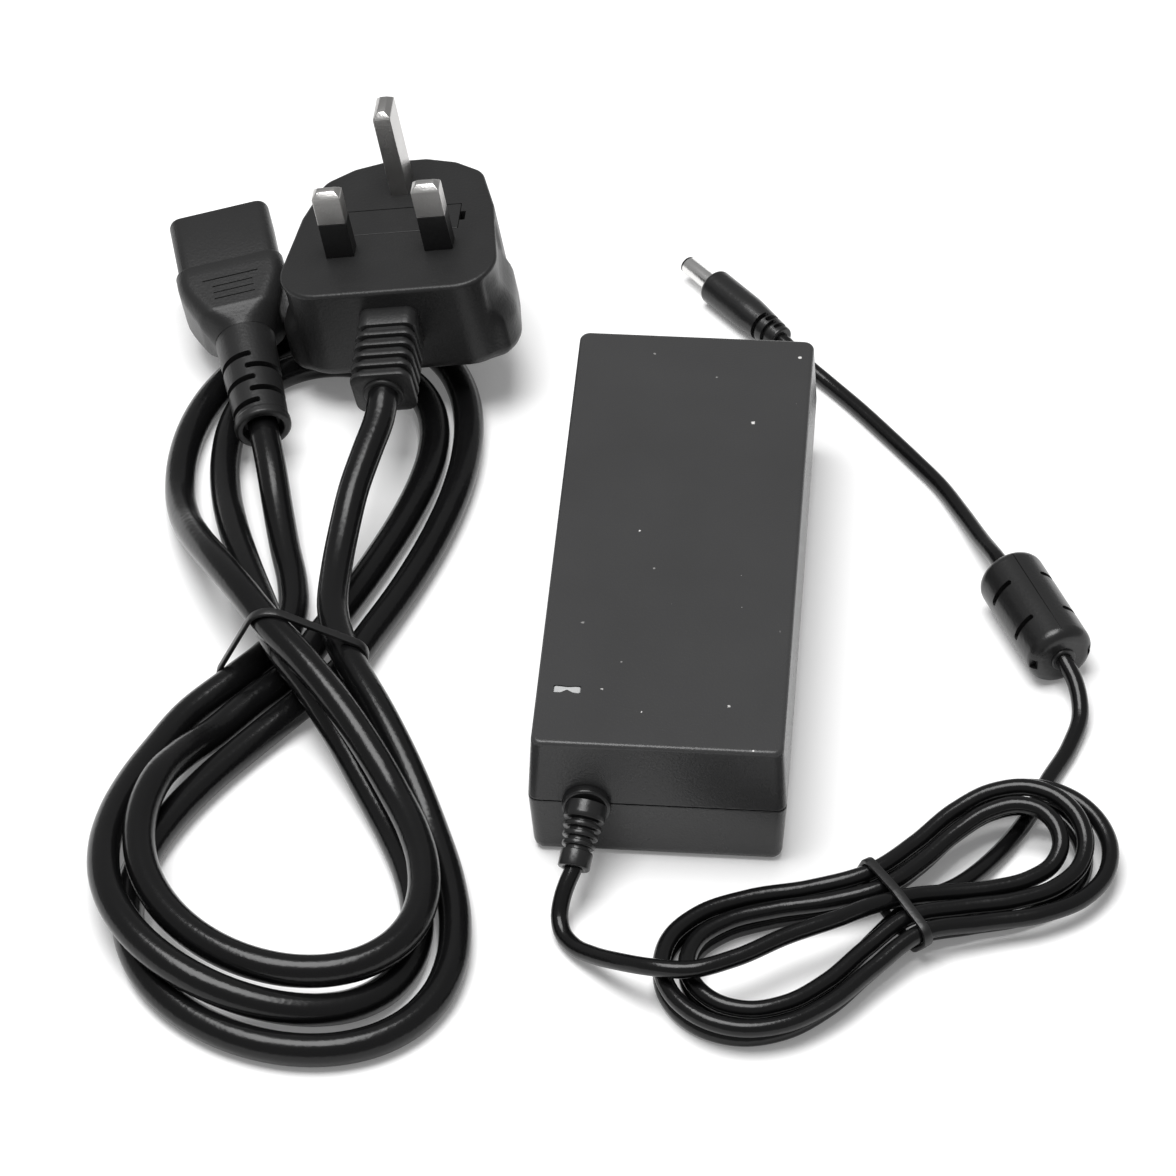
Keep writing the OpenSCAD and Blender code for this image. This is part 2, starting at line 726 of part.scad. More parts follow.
module upper_housing() {
    color(black) difference() {
        upper_body();
        upper_room();
        slab(case_w - wall_t, case_l - wall_t, corner_r - wall_t / 2, split_h - 1,
             1 + lip_h + fit_gap);
        seam_groove();
        end_cutouts();
        block([window_w, window_l, 2 * wall_t], [window_x, window_y, ceiling_z - wall_t / 2]);
    }
}
module lower_housing() {
    color(black) difference() {
        union() {
            difference() {
                lower_body();
                lower_room();
            }
            difference() {
                slab(case_w - wall_t - 2 * fit_gap, case_l - wall_t - 2 * fit_gap,
                     corner_r - wall_t / 2 - fit_gap, split_h - 1, 1 + lip_h);
                slab(case_w - 2 * wall_t, case_l - 2 * wall_t, inner_r, split_h - 2, 3 + lip_h);
            }
            posts(post_d, floor_z - wall_t / 2, board_lift + wall_t / 2);
            posts(post_pin_d, board_z - 1, 1 + board_t + post_tip);
        }
        seam_groove();
        end_cutouts();
    }
}
module light_window() {
    color([0.75, 0.76, 0.76]) {
        block([window_w, window_l, wall_t + window_pipe_h],
              [window_x, window_y, ceiling_z - window_pipe_h]);
        block([window_w + 2 * window_lip, window_l + 2 * window_lip, window_lip],
              [window_x, window_y, ceiling_z - window_lip]);
    }
}
module indicator_led() {
    color([0.6, 0.85, 0.6]) {
        rod(lamp_d, [window_x, window_y, lamp_top_z - lamp_h], lamp_h - lamp_d / 2);
        translate([window_x, window_y, lamp_top_z - lamp_d / 2]) sphere(d = lamp_d, $fn = round_fn);
        rod(lamp_d + 2 * lamp_rim, [window_x, window_y, lamp_top_z - lamp_h], lamp_rim_t);
    }
    color(tin) for (s = [-1, 1])
        rod(leg_d, [window_x + s * lamp_pitch / 2, window_y, deck_z], lamp_top_z - lamp_h - deck_z);
}

// ---- Mains inlet ----
module at_inlet() {
    translate([0, inlet_front_y, inlet_z]) children();
}
module chamfered(w, h, c) {
    polygon([[-w / 2, -h / 2], [w / 2, -h / 2], [w / 2, h / 2 - c], [w / 2 - c, h / 2],
             [-w / 2 + c, h / 2], [-w / 2, h / 2 - c]]);
}
module inlet_pin(x, z, len) {
    translate([x, -inlet_depth, z]) {
        block([inlet_pin_t, len - pin_lead_in, inlet_pin_h],
              [0, (len - pin_lead_in) / 2, -inlet_pin_h / 2]);
        block([inlet_pin_t - 2 * pin_lead_in_t, pin_lead_in, inlet_pin_h - 2 * pin_lead_in_h],
              [0, len - pin_lead_in / 2, pin_lead_in_h - inlet_pin_h / 2]);
        block([inlet_pin_t, inlet_block_l - inlet_depth, inlet_pin_h],
              [0, (inlet_depth - inlet_block_l) / 2, -inlet_pin_h / 2]);
        block([tag_t, inlet_tag, inlet_pin_h],
              [0, inlet_depth - inlet_block_l - inlet_tag / 2, -inlet_pin_h / 2]);
    }
}
module inlet_socket() {
    color(black) at_inlet() difference() {
        union() {
            block([inlet_block_w, inlet_block_l, inlet_block_h],
                  [0, -inlet_block_l / 2, -inlet_block_h / 2]);
            block([inlet_block_w + 2 * inlet_flange, inlet_flange_t,
                   inlet_block_h + 2 * inlet_flange],
                  [0, -inlet_flange_in - inlet_flange_t / 2, -inlet_block_h / 2 - inlet_flange]);
        }
        rotate([90, 0, 0]) translate([0, 0, -1])
            linear_extrude(height = inlet_depth + 1) chamfered(inlet_w, inlet_h, chamfer_c);
        for (x = [-inlet_pitch / 2, inlet_pitch / 2])
            block([inlet_pin_t, 2 * inlet_block_l, inlet_pin_h], [x, -inlet_block_l, inlet_row_z]);
        block([inlet_pin_t, 2 * inlet_block_l, inlet_pin_h],
              [0, -inlet_block_l, inlet_row_z + inlet_earth_off]);
    }
}
module inlet_line_pins() {
    color(nickel) at_inlet() for (s = [-1, 1])
        inlet_pin(s * inlet_pitch / 2, inlet_row_z + inlet_pin_h / 2, inlet_pin_len);
}
module inlet_earth_pin() {
    color(nickel) at_inlet()
        inlet_pin(0, inlet_row_z + inlet_pin_h / 2 + inlet_earth_off, inlet_pin_len + inlet_earth_extra);
}
module wire(from, run) {
    tube([from, from + [0, run * 0.4, 0], from + [0, run * 0.85, -abs(run) * 0.4],
          [from[0], from[1] + run, from[2] - abs(run)], [from[0], from[1] + run, deck_z + sliver]],
         wire_d, wire_sides, [0, sign(run), 0], unit([0, sign(run) * sliver, -1]));
}
module inlet_wires() {
    tag_y = inlet_back_y - inlet_tag;
    row_z = inlet_z + inlet_row_z + inlet_pin_h / 2;
    color([0.35, 0.22, 0.14]) wire([-inlet_pitch / 2, tag_y, row_z], -wire_run);
    color([0.2, 0.3, 0.55]) wire([inlet_pitch / 2, tag_y, row_z], -wire_run);
    color([0.35, 0.5, 0.2]) wire([0, tag_y, row_z + inlet_earth_off], -wire_run);
}

// ---- Circuit ----
module leg(x, y, z) {
    rod(leg_d, [x, y, deck_z], z - deck_z);
}
module circuit_board() {
    color([0.16, 0.3, 0.2]) difference() {
        translate([0, board_mid_y, 0]) slab(board_w, board_l, 1, board_z, board_t);
        posts(post_pin_d + 2 * fit_gap, board_z - 1, board_t + 2);
    }
}
module insulating_sheet() {
    color([0.85, 0.83, 0.75]) difference() {
        translate([0, board_mid_y, 0]) slab(board_w, board_l, 1, floor_z, sheet_t);
        posts(post_d + 2 * fit_gap, floor_z - 1, sheet_t + 2);
    }
}
module board_fuse() {
    cap_mid = (small_fuse_l - small_fuse_cap) / 2;
    translate([fuse_x, row_filter_y, deck_z + small_fuse_d / 2 + small_fuse_up]) rotate([0, 90, 0]) {
        color([0.82, 0.8, 0.74])
            cylinder(d = small_fuse_d - small_fuse_wall, h = small_fuse_l, center = true, $fn = round_fn);
        color(tin) for (s = [-1, 1]) translate([0, 0, s * cap_mid])
            cylinder(d = small_fuse_d, h = small_fuse_cap, center = true, $fn = round_fn);
    }
    color(tin) for (s = [-1, 1])
        leg(fuse_x + s * cap_mid, row_filter_y, deck_z + 2 * small_fuse_up);
}
module film_capacitor() {
    color([0.62, 0.5, 0.2]) block([film_w, film_t, film_h], [film_x, row_filter_y, deck_z]);
}
module choke_core() {
    color([0.2, 0.19, 0.19]) difference() {
        block([choke_w, choke_t, choke_h], [choke_x, row_choke_y, deck_z]);
        block([choke_w - 2 * choke_leg, choke_t + 2, choke_h - 2 * choke_leg],
              [choke_x, row_choke_y, deck_z + choke_leg]);
    }
}
module choke_windings() {
    color(copper) for (s = [-1, 1]) translate([choke_x + s * (choke_w - choke_leg) / 2, row_choke_y, 0])
        difference() {
            block([choke_leg + 2 * choke_wind, choke_t + 2 * choke_wind, choke_h - 2 * choke_leg],
                  [0, 0, deck_z + choke_leg]);
            block([choke_leg, choke_t, choke_h], [0, 0, deck_z]);
        }
}
module bridge_rectifier() {
    color([0.15, 0.15, 0.16])
        block([bridge_w, bridge_t, bridge_h], [bridge_x, row_choke_y, deck_z + bridge_up]);
    color(tin) for (k = [0:bridge_legs - 1])
        leg(bridge_x + (k - (bridge_legs - 1) / 2) * bridge_w / bridge_legs, row_choke_y,
            deck_z + bridge_up);
}
module bulk_capacitor() {
    color([0.16, 0.2, 0.34]) translate([0, row_bulk_y, deck_z + bulk_d / 2]) rotate([0, 90, 0]) {
        cylinder(d = bulk_d, h = bulk_l - 2 * bulk_shoulder, center = true, $fn = round_fn);
        cylinder(d = bulk_d - 2 * can_neck, h = bulk_l, center = true, $fn = round_fn);
        translate([0, 0, bulk_shoulder - bulk_l / 2])
            cylinder(d = bulk_d, h = bulk_rim, center = true, $fn = round_fn);
    }
    color(tin) for (s = [-1, 1]) translate([-bulk_l / 2, row_bulk_y + s * bulk_pitch / 2, 0]) {
        block([2 * bulk_leg_out, leg_d, leg_d], [0, 0, deck_z + bulk_d / 2]);
        block([leg_d, leg_d, bulk_d / 2 + leg_d], [-bulk_leg_out, 0, deck_z]);
    }
}
module sink_plate(y) {
    color(tin) difference() {
        union() {
            block([sink_w, sink_t, sink_h], [0, y, deck_z]);
            block([sink_w, sink_lip, sink_t], [0, y + sink_lip / 2, deck_z + sink_h - sink_t]);
        }
        along([0, y - sink_t, screw_z], [0, 1, 0])
            cylinder(d = screw_d, h = 2 * sink_t, $fn = round_fn);
    }
}
module tab_package(y, n) {
    face_y = y - sink_t / 2;
    color(tin) difference() {
        block([tab_w, tab_t, tab_h], [0, face_y - tab_t / 2, chip_z]);
        along([0, face_y - 2 * tab_t, screw_z], [0, 1, 0])
            cylinder(d = screw_d, h = 3 * tab_t, $fn = round_fn);
    }
    color([0.14, 0.14, 0.15])
        block([tab_w, chip_t - tab_t, chip_h], [0, face_y - (chip_t + tab_t) / 2, chip_z]);
    color(tin) for (k = [0:n - 1])
        leg((k - (n - 1) / 2) * tab_w / n, face_y - chip_t / 2, chip_z);
}
module primary_heat_sink() {
    sink_plate(row_primary_y);
}
module secondary_heat_sink() {
    sink_plate(row_secondary_y);
}
module switching_transistor() {
    tab_package(row_primary_y, chip_legs);
}
module rectifier_diode() {
    tab_package(row_secondary_y, chip_legs);
}
module heat_sink_screws() {
    color(nickel) for (y = [row_primary_y, row_secondary_y])
        translate([0, y - sink_t / 2 - tab_t, screw_z]) rotate([-90, 0, 0]) {
            cylinder(d = screw_d, h = tab_t + sink_t + screw_nut, $fn = round_fn);
            translate([0, 0, -screw_head])
                cylinder(d = screw_head_d, h = screw_head, $fn = round_fn);
            translate([0, 0, tab_t + sink_t]) cylinder(d = screw_nut_d, h = screw_nut, $fn = 6);
        }
}
module transformer_core() {
    color([0.2, 0.19, 0.19]) difference() {
        block([core_w, core_t, core_h], [0, row_core_y, deck_z]);
        for (s = [-1, 1])
            block([core_gap, core_t + 2, core_h - 2 * core_leg],
                  [s * (core_mid + core_gap) / 2, row_core_y, deck_z + core_leg]);
    }
}
module core_sleeve(grow, z, h) {
    block([core_mid + 2 * grow, core_t + 2 * grow, h], [0, row_core_y, z]);
}
module transformer_bobbin() {
    color([0.12, 0.12, 0.13]) difference() {
        union() {
            core_sleeve(bobbin_wall, deck_z + core_leg, core_h - 2 * core_leg);
            core_sleeve(core_gap - bobbin_gap, deck_z + core_leg, bobbin_wall);
            core_sleeve(core_gap - bobbin_gap, deck_z + core_h - core_leg - bobbin_wall, bobbin_wall);
        }
        core_sleeve(0, deck_z, core_h);
    }
}
module transformer_winding() {
    color([0.78, 0.7, 0.3]) difference() {
        core_sleeve(core_gap - 3 * bobbin_gap, deck_z + core_leg + bobbin_wall,
                    core_h - 2 * core_leg - 2 * bobbin_wall);
        core_sleeve(bobbin_wall, deck_z, core_h);
    }
}
module suppression_capacitor() {
    color([0.25, 0.35, 0.6]) along([disc_x, row_core_y, deck_z + disc_d / 2 + disc_up], [1, 0, 0])
        cylinder(d = disc_d, h = disc_t, center = true, $fn = round_fn);
    color(tin) for (s = [-1, 1]) leg(disc_x, row_core_y + s * disc_d / 4, deck_z + 1.5 * disc_up);
}
module optocoupler() {
    color([0.9, 0.9, 0.88]) block([opto_w, opto_l, opto_h], [-disc_x, row_core_y, deck_z + opto_up]);
    color(tin) for (sx = [-1, 1], sy = [-1, 1])
        block(opto_leg, [-disc_x + sx * (opto_w + opto_leg[0]) / 2, row_core_y + sy * opto_l / 4,
                         deck_z]);
}
module output_capacitors() {
    seat = out_cap_foot + out_cap_crease;
    color([0.16, 0.2, 0.34]) for (x = [out_cap_from, out_cap_from + out_cap_pitch]) {
        rod(out_cap_d, [x, row_output_y, deck_z], out_cap_foot);
        rod(out_cap_d - 2 * can_neck, [x, row_output_y, deck_z], out_cap_h - out_cap_crown);
        rod(out_cap_d, [x, row_output_y, deck_z + seat], out_cap_h - seat);
    }
}
module output_inductor() {
    color([0.2, 0.19, 0.19]) {
        rod(drum_d, [drum_x, row_output_y, deck_z], drum_lip);
        rod(drum_d, [drum_x, row_output_y, deck_z + drum_h - drum_lip], drum_lip);
    }
    color(copper) rod(drum_d - 2 * drum_wind, [drum_x, row_output_y, deck_z], drum_h);
}
module output_wires() {
    from_y = boot_inner_y + boot_inner_t;
    color([0.65, 0.1, 0.08]) wire([boot_x - wire_gap, from_y, boot_z], wire_run);
    color(black) wire([boot_x + wire_gap, from_y, boot_z], wire_run);
}

// ---- Output lead ----
module output_strain_relief() {
    color(soft_black) {
        along([boot_x, -end_y, boot_z], [0, 1, 0])
            cylinder(d = boot_neck_d, h = boot_inner_y + end_y, $fn = round_fn);
        along([boot_x, boot_inner_y, boot_z], [0, 1, 0])
            cylinder(d = boot_flange_d, h = boot_inner_t, $fn = round_fn);
        along(boot_root, [0, -1, 0]) cylinder(d = boot_flange_d, h = boot_flange_t, $fn = round_fn);
        along(boot_root + [0, -boot_flange_t / 2, 0], boot_dir)
            cylinder(d = boot_core_d, h = boot_len + boot_flange_t / 2 - boot_end_l, $fn = round_fn);
        along(boot_root + [0, -boot_flange_t, 0], boot_dir) {
            translate([0, 0, -1]) cylinder(d1 = boot_flange_d - 3, d2 = boot_rib_d, h = boot_cone_l + 1,
                                           $fn = round_fn);
            for (k = [1:boot_rib_n]) translate([0, 0, boot_cone_l + k * boot_rib_pitch - boot_rib_t])
                cylinder(d = boot_rib_d, h = boot_rib_t, $fn = round_fn);
            translate([0, 0, boot_len - boot_end_l])
                cylinder(d = boot_end_d, h = boot_end_l, $fn = round_fn);
        }
    }
}
module output_lead_first_run() {
    color(soft_black) tube(concat([boot_tip], first_route, [lead_start]), lead_d, lead_sides,
                           boot_dir, lead_start_dir);
}
module output_lead_hank() {
    loops = concat([lead_start], lead_loops, [lead_end]);
    echo(least_gap_of_output_hank = least_gap(finer(loops, gap_samples), lead_d, lead_gap_skip));
    color(soft_black) tube(loops, lead_d, wound_sides, lead_start_dir, lead_end_dir);
}
module output_lead_tie() {
    color(black) translate([hank_mid[0], hank_mid[1], 0]) rotate([0, 0, hank_yaw + 90])
        band(lead_tie_corners, lead_tie_bend, lead_tie_t);
}
module output_lead_second_run() {
    color(soft_black) tube(concat([lead_end], second_route, [ferrite_low]), lead_d, lead_sides,
                           lead_end_dir, ferrite_dir);
}
module at_ferrite() {
    translate(ferrite_mid) rotate([90, 0, ferrite_yaw]) children();
}
module ferrite_core() {
    color([0.2, 0.19, 0.19]) at_ferrite() difference() {
        cylinder(d = ferrite_core_d, h = ferrite_l - 2 * ferrite_wall, center = true, $fn = round_fn);
        cylinder(d = ferrite_core_bore, h = ferrite_l, center = true, $fn = round_fn);
    }
}
module ferrite_jacket() {
    color(soft_black) at_ferrite() difference() {
        rotate_extrude($fn = round_fn) difference() {
            union() {
                translate([0, -ferrite_l / 2]) square([ferrite_d / 2 - ferrite_end_r, ferrite_l]);
                translate([0, ferrite_end_r - ferrite_l / 2])
                    square([ferrite_d / 2, ferrite_l - 2 * ferrite_end_r]);
                for (s = [-1, 1])
                    translate([ferrite_d / 2 - ferrite_end_r, s * (ferrite_l / 2 - ferrite_end_r)])
                        circle(r = ferrite_end_r, $fn = hull_fn);
            }
            translate([ferrite_core_bore / 2, ferrite_wall - ferrite_l / 2])
                square([(ferrite_core_d - ferrite_core_bore) / 2, ferrite_l - 2 * ferrite_wall]);
            translate([-ferrite_d, -ferrite_l]) square([ferrite_d, 2 * ferrite_l]);
        }
        for (s = [-1, 1], t = [-1, 1])
            block([ferrite_slot_w, ferrite_slot_deep * 2, ferrite_slot_l],
                  [s * ferrite_slot_x, sqrt(pow(ferrite_d / 2, 2) - pow(ferrite_slot_x, 2)),
                   t * ferrite_slot_mid - ferrite_slot_l / 2]);
    }
}
module output_lead_last_run() {
    color(soft_black) tube(concat([ferrite_high], last_route, [jack_tail]), lead_d, lead_sides,
                           ferrite_dir, jack_dir);
}
module at_jack() {
    translate(jack_front) rotate([-90, 0, jack_yaw]) children();
}
module barrel_plug_grip() {
    color(soft_black) at_jack() difference() {
        translate([0, 0, -grip_l]) {
            cylinder(d = grip_d, h = grip_l - grip_edge, $fn = round_fn);
            cylinder(d = grip_d - 2 * grip_edge, h = grip_l, $fn = round_fn);
        }
        rod(barrel_root_d, [0, 0, -barrel_root], 2 * barrel_root);
        difference() {
            for (s = [-1, 1], k = [0, 1])
                block([grip_d, 2 * grip_d, grip_slot_t],
                      [s * (grip_d / 2 + grip_slot_from), 0, -grip_slots[k] - grip_slot_t / 2]);
            rod(grip_d - 2 * grip_slot_deep, [0, 0, -grip_l], grip_l);
        }
    }
}
module barrel_ring(outer, inner, root_d) {
    at_jack() difference() {
        union() {
            rod(outer, [0, 0, -barrel_root], barrel_root + barrel_l);
            rod(root_d, [0, 0, -barrel_root], barrel_root);
        }
        rod(inner, [0, 0, -2 * barrel_root], 4 * barrel_root + barrel_l);
    }
}
module barrel_plug_sleeve() {
    color(nickel) barrel_ring(barrel_d, barrel_d - 2 * barrel_wall, barrel_root_d);
}
module barrel_plug_insulator() {
    outer = barrel_d - 2 * barrel_wall;
    color(black) barrel_ring(outer, barrel_bore + 2 * contact_wall, outer);
}
module barrel_plug_contact() {
    outer = barrel_bore + 2 * contact_wall;
    color(brass) barrel_ring(outer, barrel_bore, outer);
}

// ---- Mains plug ----
module plug_level(in, z) {
    for (s = [-1, 1], b = plug_bends)
        translate([s * b[0], b[1], z]) cylinder(r = b[2] - in, h = sliver, $fn = hull_fn);
}
module mains_plug_body() {
    color(soft_black) at_plug() difference() {
        union() {
            hull() for (a = edge_steps) {
                plug_level(plug_edge_r * (1 - cos(a)), -plug_edge_r * (1 - sin(a)) - sliver);
                plug_level(plug_base_r * (1 - cos(a)), plug_base_r * (1 - sin(a)) - plug_depth);
            }
            for (s = [-1, 1]) hull() for (y = [-1, 1] * plug_flare_y) {
                translate([s * (plug_half_w - plug_flare_r - plug_waist_in), y, -plug_waist_h])
                    sphere(r = plug_flare_r, $fn = ball_fn);
                for (h = [plug_flare_from, plug_depth - plug_flare_r])
                    translate([s * (plug_half_w + plug_flare - plug_flare_r), y * plug_flare_taper, -h])
                        sphere(r = plug_flare_r, $fn = ball_fn);
            }
        }
        carrier_block();
    }
}
module carrier_block() {
    block([carrier_w, carrier_front + carrier_shoulder, carrier_depth + 1],
          [0, (carrier_shoulder - carrier_front) / 2, -carrier_depth]);
    block([carrier_neck_w, carrier_front + carrier_back, carrier_depth + 1],
          [0, (carrier_back - carrier_front) / 2, -carrier_depth]);
}
module plug_pin_carrier() {
    color(soft_black) at_plug() difference() {
        carrier_block();
        block([2 * carrier_w, 4 * carrier_back, 2], [0, 0, 0]);
        for (s = [-1, 1])
            block([pin_w, pin_t, pin_root + 1], [s * pin_pitch / 2, 0, -pin_root]);
        block([pin_t, earth_w, pin_root + 1], [0, earth_dist, -pin_root]);
        block([fuse_door_w + 2 * door_gap, fuse_door_l + 2 * door_gap, fuse_room],
              [0, door_y, -fuse_room]);
        block([notch[0], notch[1], 2 * notch[2]],
              [fuse_door_w / 2 + door_gap + notch[0] / 2 - sliver, door_y, -notch[2]]);
    }
}
module blade(w, t, from, to) {
    block([w, t, to - pin_tip - from], [0, 0, from]);
    hull() {
        block([w, t, sliver], [0, 0, to - pin_tip - sliver]);
        block([w - 2 * pin_tip, t - 2 * pin_tip, sliver], [0, 0, to - sliver]);
    }
}
module line_pin(s) {
    color(nickel) at_plug() translate([s * pin_pitch / 2, 0, 0]) {
        block([pin_w, pin_t, pin_root], [0, 0, -pin_root]);
        block([pin_w - 2 * sleeve_t, pin_t - 2 * sleeve_t, sleeve_len], [0, 0, 0]);
        blade(pin_w, pin_t, sleeve_len, pin_len);
    }
}
module live_pin() {
    line_pin(-1);
}
module neutral_pin() {
    line_pin(1);
}
module earth_pin() {
    color(nickel) at_plug() translate([0, earth_dist, 0]) blade(pin_t, earth_w, -pin_root, earth_len);
}
module pin_sleeves() {
    color(soft_black) at_plug() for (s = [-1, 1]) translate([s * pin_pitch / 2, 0, 0]) difference() {
        block([pin_w, pin_t, sleeve_len], [0, 0, 0]);
        block([pin_w - 2 * sleeve_t, pin_t - 2 * sleeve_t, sleeve_len + 2], [0, 0, -1]);
    }
}
module at_fuse() {
    at_plug() translate([0, door_y, fuse_h]) rotate([0, 90, 0]) children();
}
module fuse_carrier() {
    color(soft_black) {
        at_plug() block([fuse_door_w, fuse_door_l, door_t], [0, door_y, -door_t]);
        difference() {
            at_plug() block([cradle_w, fuse_door_l - 1, -fuse_h - door_t + cradle_low],
                            [0, door_y, fuse_h - cradle_low]);
            at_fuse() cylinder(d = fuse_d - 2 * fuse_cap_t, h = fuse_door_w, center = true, $fn = round_fn);
            at_plug() block([2 * cradle_w, cradle_mouth, -fuse_h],
                            [0, door_y, fuse_h - cradle_low + fuse_h]);
        }
    }
}
module cartridge_fuse() {
    color([0.9, 0.88, 0.82]) at_fuse()
        cylinder(d = fuse_d - 2 * fuse_cap_t, h = fuse_l - 2 * fuse_cap_t, center = true, $fn = round_fn);
}
module fuse_end_caps() {
    color(nickel) at_fuse() difference() {
        for (s = [-1, 1]) translate([0, 0, s * (fuse_l - fuse_cap_l) / 2])
            cylinder(d = fuse_d, h = fuse_cap_l, center = true, $fn = round_fn);
        cylinder(d = fuse_d - 2 * fuse_cap_t, h = fuse_l - 2 * fuse_cap_t, center = true, $fn = round_fn);
    }
}
module fuse_clips() {
    arm = fuse_d / 2 + fuse_gap + clip_t / 2;
    color(brass) at_plug() for (s = [-1, 1]) translate([s * clip_x, door_y, 0]) {
        block([clip_w, 2 * arm + clip_t, clip_t], [0, 0, -fuse_room]);
        for (t = [-1, 1]) block([clip_w, clip_t, fuse_room + fuse_h + clip_up], [0, t * arm, -fuse_room]);
    }
}
module plug_cord_guard() {
    color(soft_black) at_plug() difference() {
        translate([0, -plug_front, guard_axis_h]) rotate([guard_drop, 0, 0]) {
            block([guard_w, guard_l + 2, guard_h], [0, 1 - guard_l / 2, -guard_h / 2]);
            for (k = [0:guard_rib_n - 1])
                block([guard_rib_w, guard_rib_t, guard_rib_h],
                      [0, -guard_l + guard_rib_t / 2 + k * guard_pitch, -guard_rib_h / 2]);
        }
        block([2 * guard_w, 2 * plug_front, 4 * guard_h], [0, 0, -plug_depth - guard_h]);
    }
}

// ---- Mains lead ----
module mains_lead_plug_run() {
    color(soft_black) tube(concat([guard_tip], plug_route, [cord_end]), cord_d, cord_sides,
                           guard_dir, -cord_end_dir);
}
module mains_lead_hank() {
    loops = concat([cord_start], cord_loops, [cord_end]);
    echo(least_gap_of_mains_hank = least_gap(finer(loops, gap_samples), cord_d, cord_gap_skip));
    color(soft_black) tube(loops, cord_d, wound_sides, cord_start_dir, cord_end_dir);
}
module mains_lead_tie() {
    color(black) translate([0, cord_tie_y, 0]) band(cord_tie_corners, cord_tie_bend, cord_tie_t);
}
module mains_lead_connector_run() {
    color(soft_black) tube(concat([hook_at], hook_route, [cord_start]), cord_d, cord_sides,
                           hook_dir, cord_start_dir);
}

// ---- Inlet connector ----
module card(w, h, r, y) {
    for (sx = [-1, 1], sz = [-1, 1])
        translate([sx * (w / 2 - r), y, sz * (h / 2 - r)]) rotate([-90, 0, 0])
            cylinder(r = r, h = sliver, $fn = hull_fn);
}
module nose_shape(in, from, to) {
    translate([0, from, 0]) rotate([-90, 0, 0]) linear_extrude(height = to - from)
        chamfered(nose_w - 2 * in, nose_h - 2 * in, chamfer_c - in * (2 - sqrt(2)));
}
module connector_body() {
    color(soft_black) at_hook() difference() {
        union() {
            hull() {
                card(hook_root_d, hook_root_d, hook_root_d / 2 - sliver, hook_guard_l);
                card(hook_shoulder_w, hook_shoulder_h, hook_shoulder_r, hook_guard_l + hook_shoulder_y);
                card(hold_w, hook_h, hold_r, hook_guard_l + hold_from);
                card(hold_w, hook_h, hold_r, hook_guard_l + hold_l - sliver);
            }
            nose_shape(0, hook_guard_l + hold_l - 1, hook_guard_l + hold_l + nose_l);
        }
        nose_shape(nose_wall, hook_guard_l + hold_l + insert_from, hook_guard_l + hold_l + nose_l + 1);
    }
}
module each_slot() {
    for (x = [-inlet_pitch / 2, inlet_pitch / 2]) translate([x, 0, inlet_earth_off / 2]) children();
    translate([0, 0, -inlet_earth_off / 2]) children();
}
module connector_insert() {
    front = hook_guard_l + hold_l + nose_l;
    color([0.1, 0.1, 0.105]) at_hook() difference() {
        nose_shape(nose_wall, front - nose_l + insert_from, front);
        each_slot() block([slot_w, 2 * slot_deep, slot_h], [0, front, -slot_h / 2]);
    }
}
module connector_contacts() {
    front = hook_guard_l + hold_l + nose_l;
    color(brass) at_hook() each_slot() difference() {
        block([slot_w, slot_deep - contact_in, slot_h],
              [0, front - (slot_deep + contact_in) / 2, -slot_h / 2]);
        block([slot_w - 2 * contact_wall, slot_deep, slot_h - 2 * contact_wall],
              [0, front - slot_deep / 2 + contact_wall, contact_wall - slot_h / 2]);
    }
}
module connector_cord_guard() {
    color(soft_black) at_hook() difference() {
        turned_rod(hook_guard_d, hook_root_d, 0, hook_guard_l);
        difference() {
            for (s = [-1, 1], k = [0:hook_slot_n - 1])
                block([hook_root_d, hook_slot_t, 2 * hook_root_d],
                      [s * (hook_root_d / 2 + hook_slot_from),
                       hook_slot_first + (k + (s + 1) / 4) * hook_slot_pitch, -hook_root_d]);
            turned_rod(hook_guard_d - 2 * hook_slot_deep, hook_guard_d - 2 * hook_slot_deep,
                       -1, hook_guard_l + 1);
        }
    }
}

upper_housing();
lower_housing();
light_window();
indicator_led();
inlet_socket();
inlet_line_pins();
inlet_earth_pin();
inlet_wires();
circuit_board();
insulating_sheet();
board_fuse();
film_capacitor();
choke_core();
choke_windings();
bridge_rectifier();
bulk_capacitor();
primary_heat_sink();
switching_transistor();
heat_sink_screws();
transformer_core();
transformer_bobbin();
transformer_winding();
suppression_capacitor();
optocoupler();
secondary_heat_sink();
rectifier_diode();
output_capacitors();
output_inductor();
output_wires();
output_strain_relief();
output_lead_first_run();
output_lead_hank();
output_lead_tie();
output_lead_second_run();
ferrite_core();
ferrite_jacket();
output_lead_last_run();
barrel_plug_grip();
barrel_plug_sleeve();
barrel_plug_insulator();
barrel_plug_contact();
mains_plug_body();
plug_pin_carrier();
live_pin();
neutral_pin();
earth_pin();
pin_sleeves();
fuse_carrier();
cartridge_fuse();
fuse_end_caps();
fuse_clips();
plug_cord_guard();
mains_lead_plug_run();
mains_lead_hank();
mains_lead_tie();
mains_lead_connector_run();
connector_body();
connector_insert();
connector_contacts();
connector_cord_guard();
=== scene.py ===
import bpy
import bmesh
import json
import math
from mathutils import Matrix, Vector


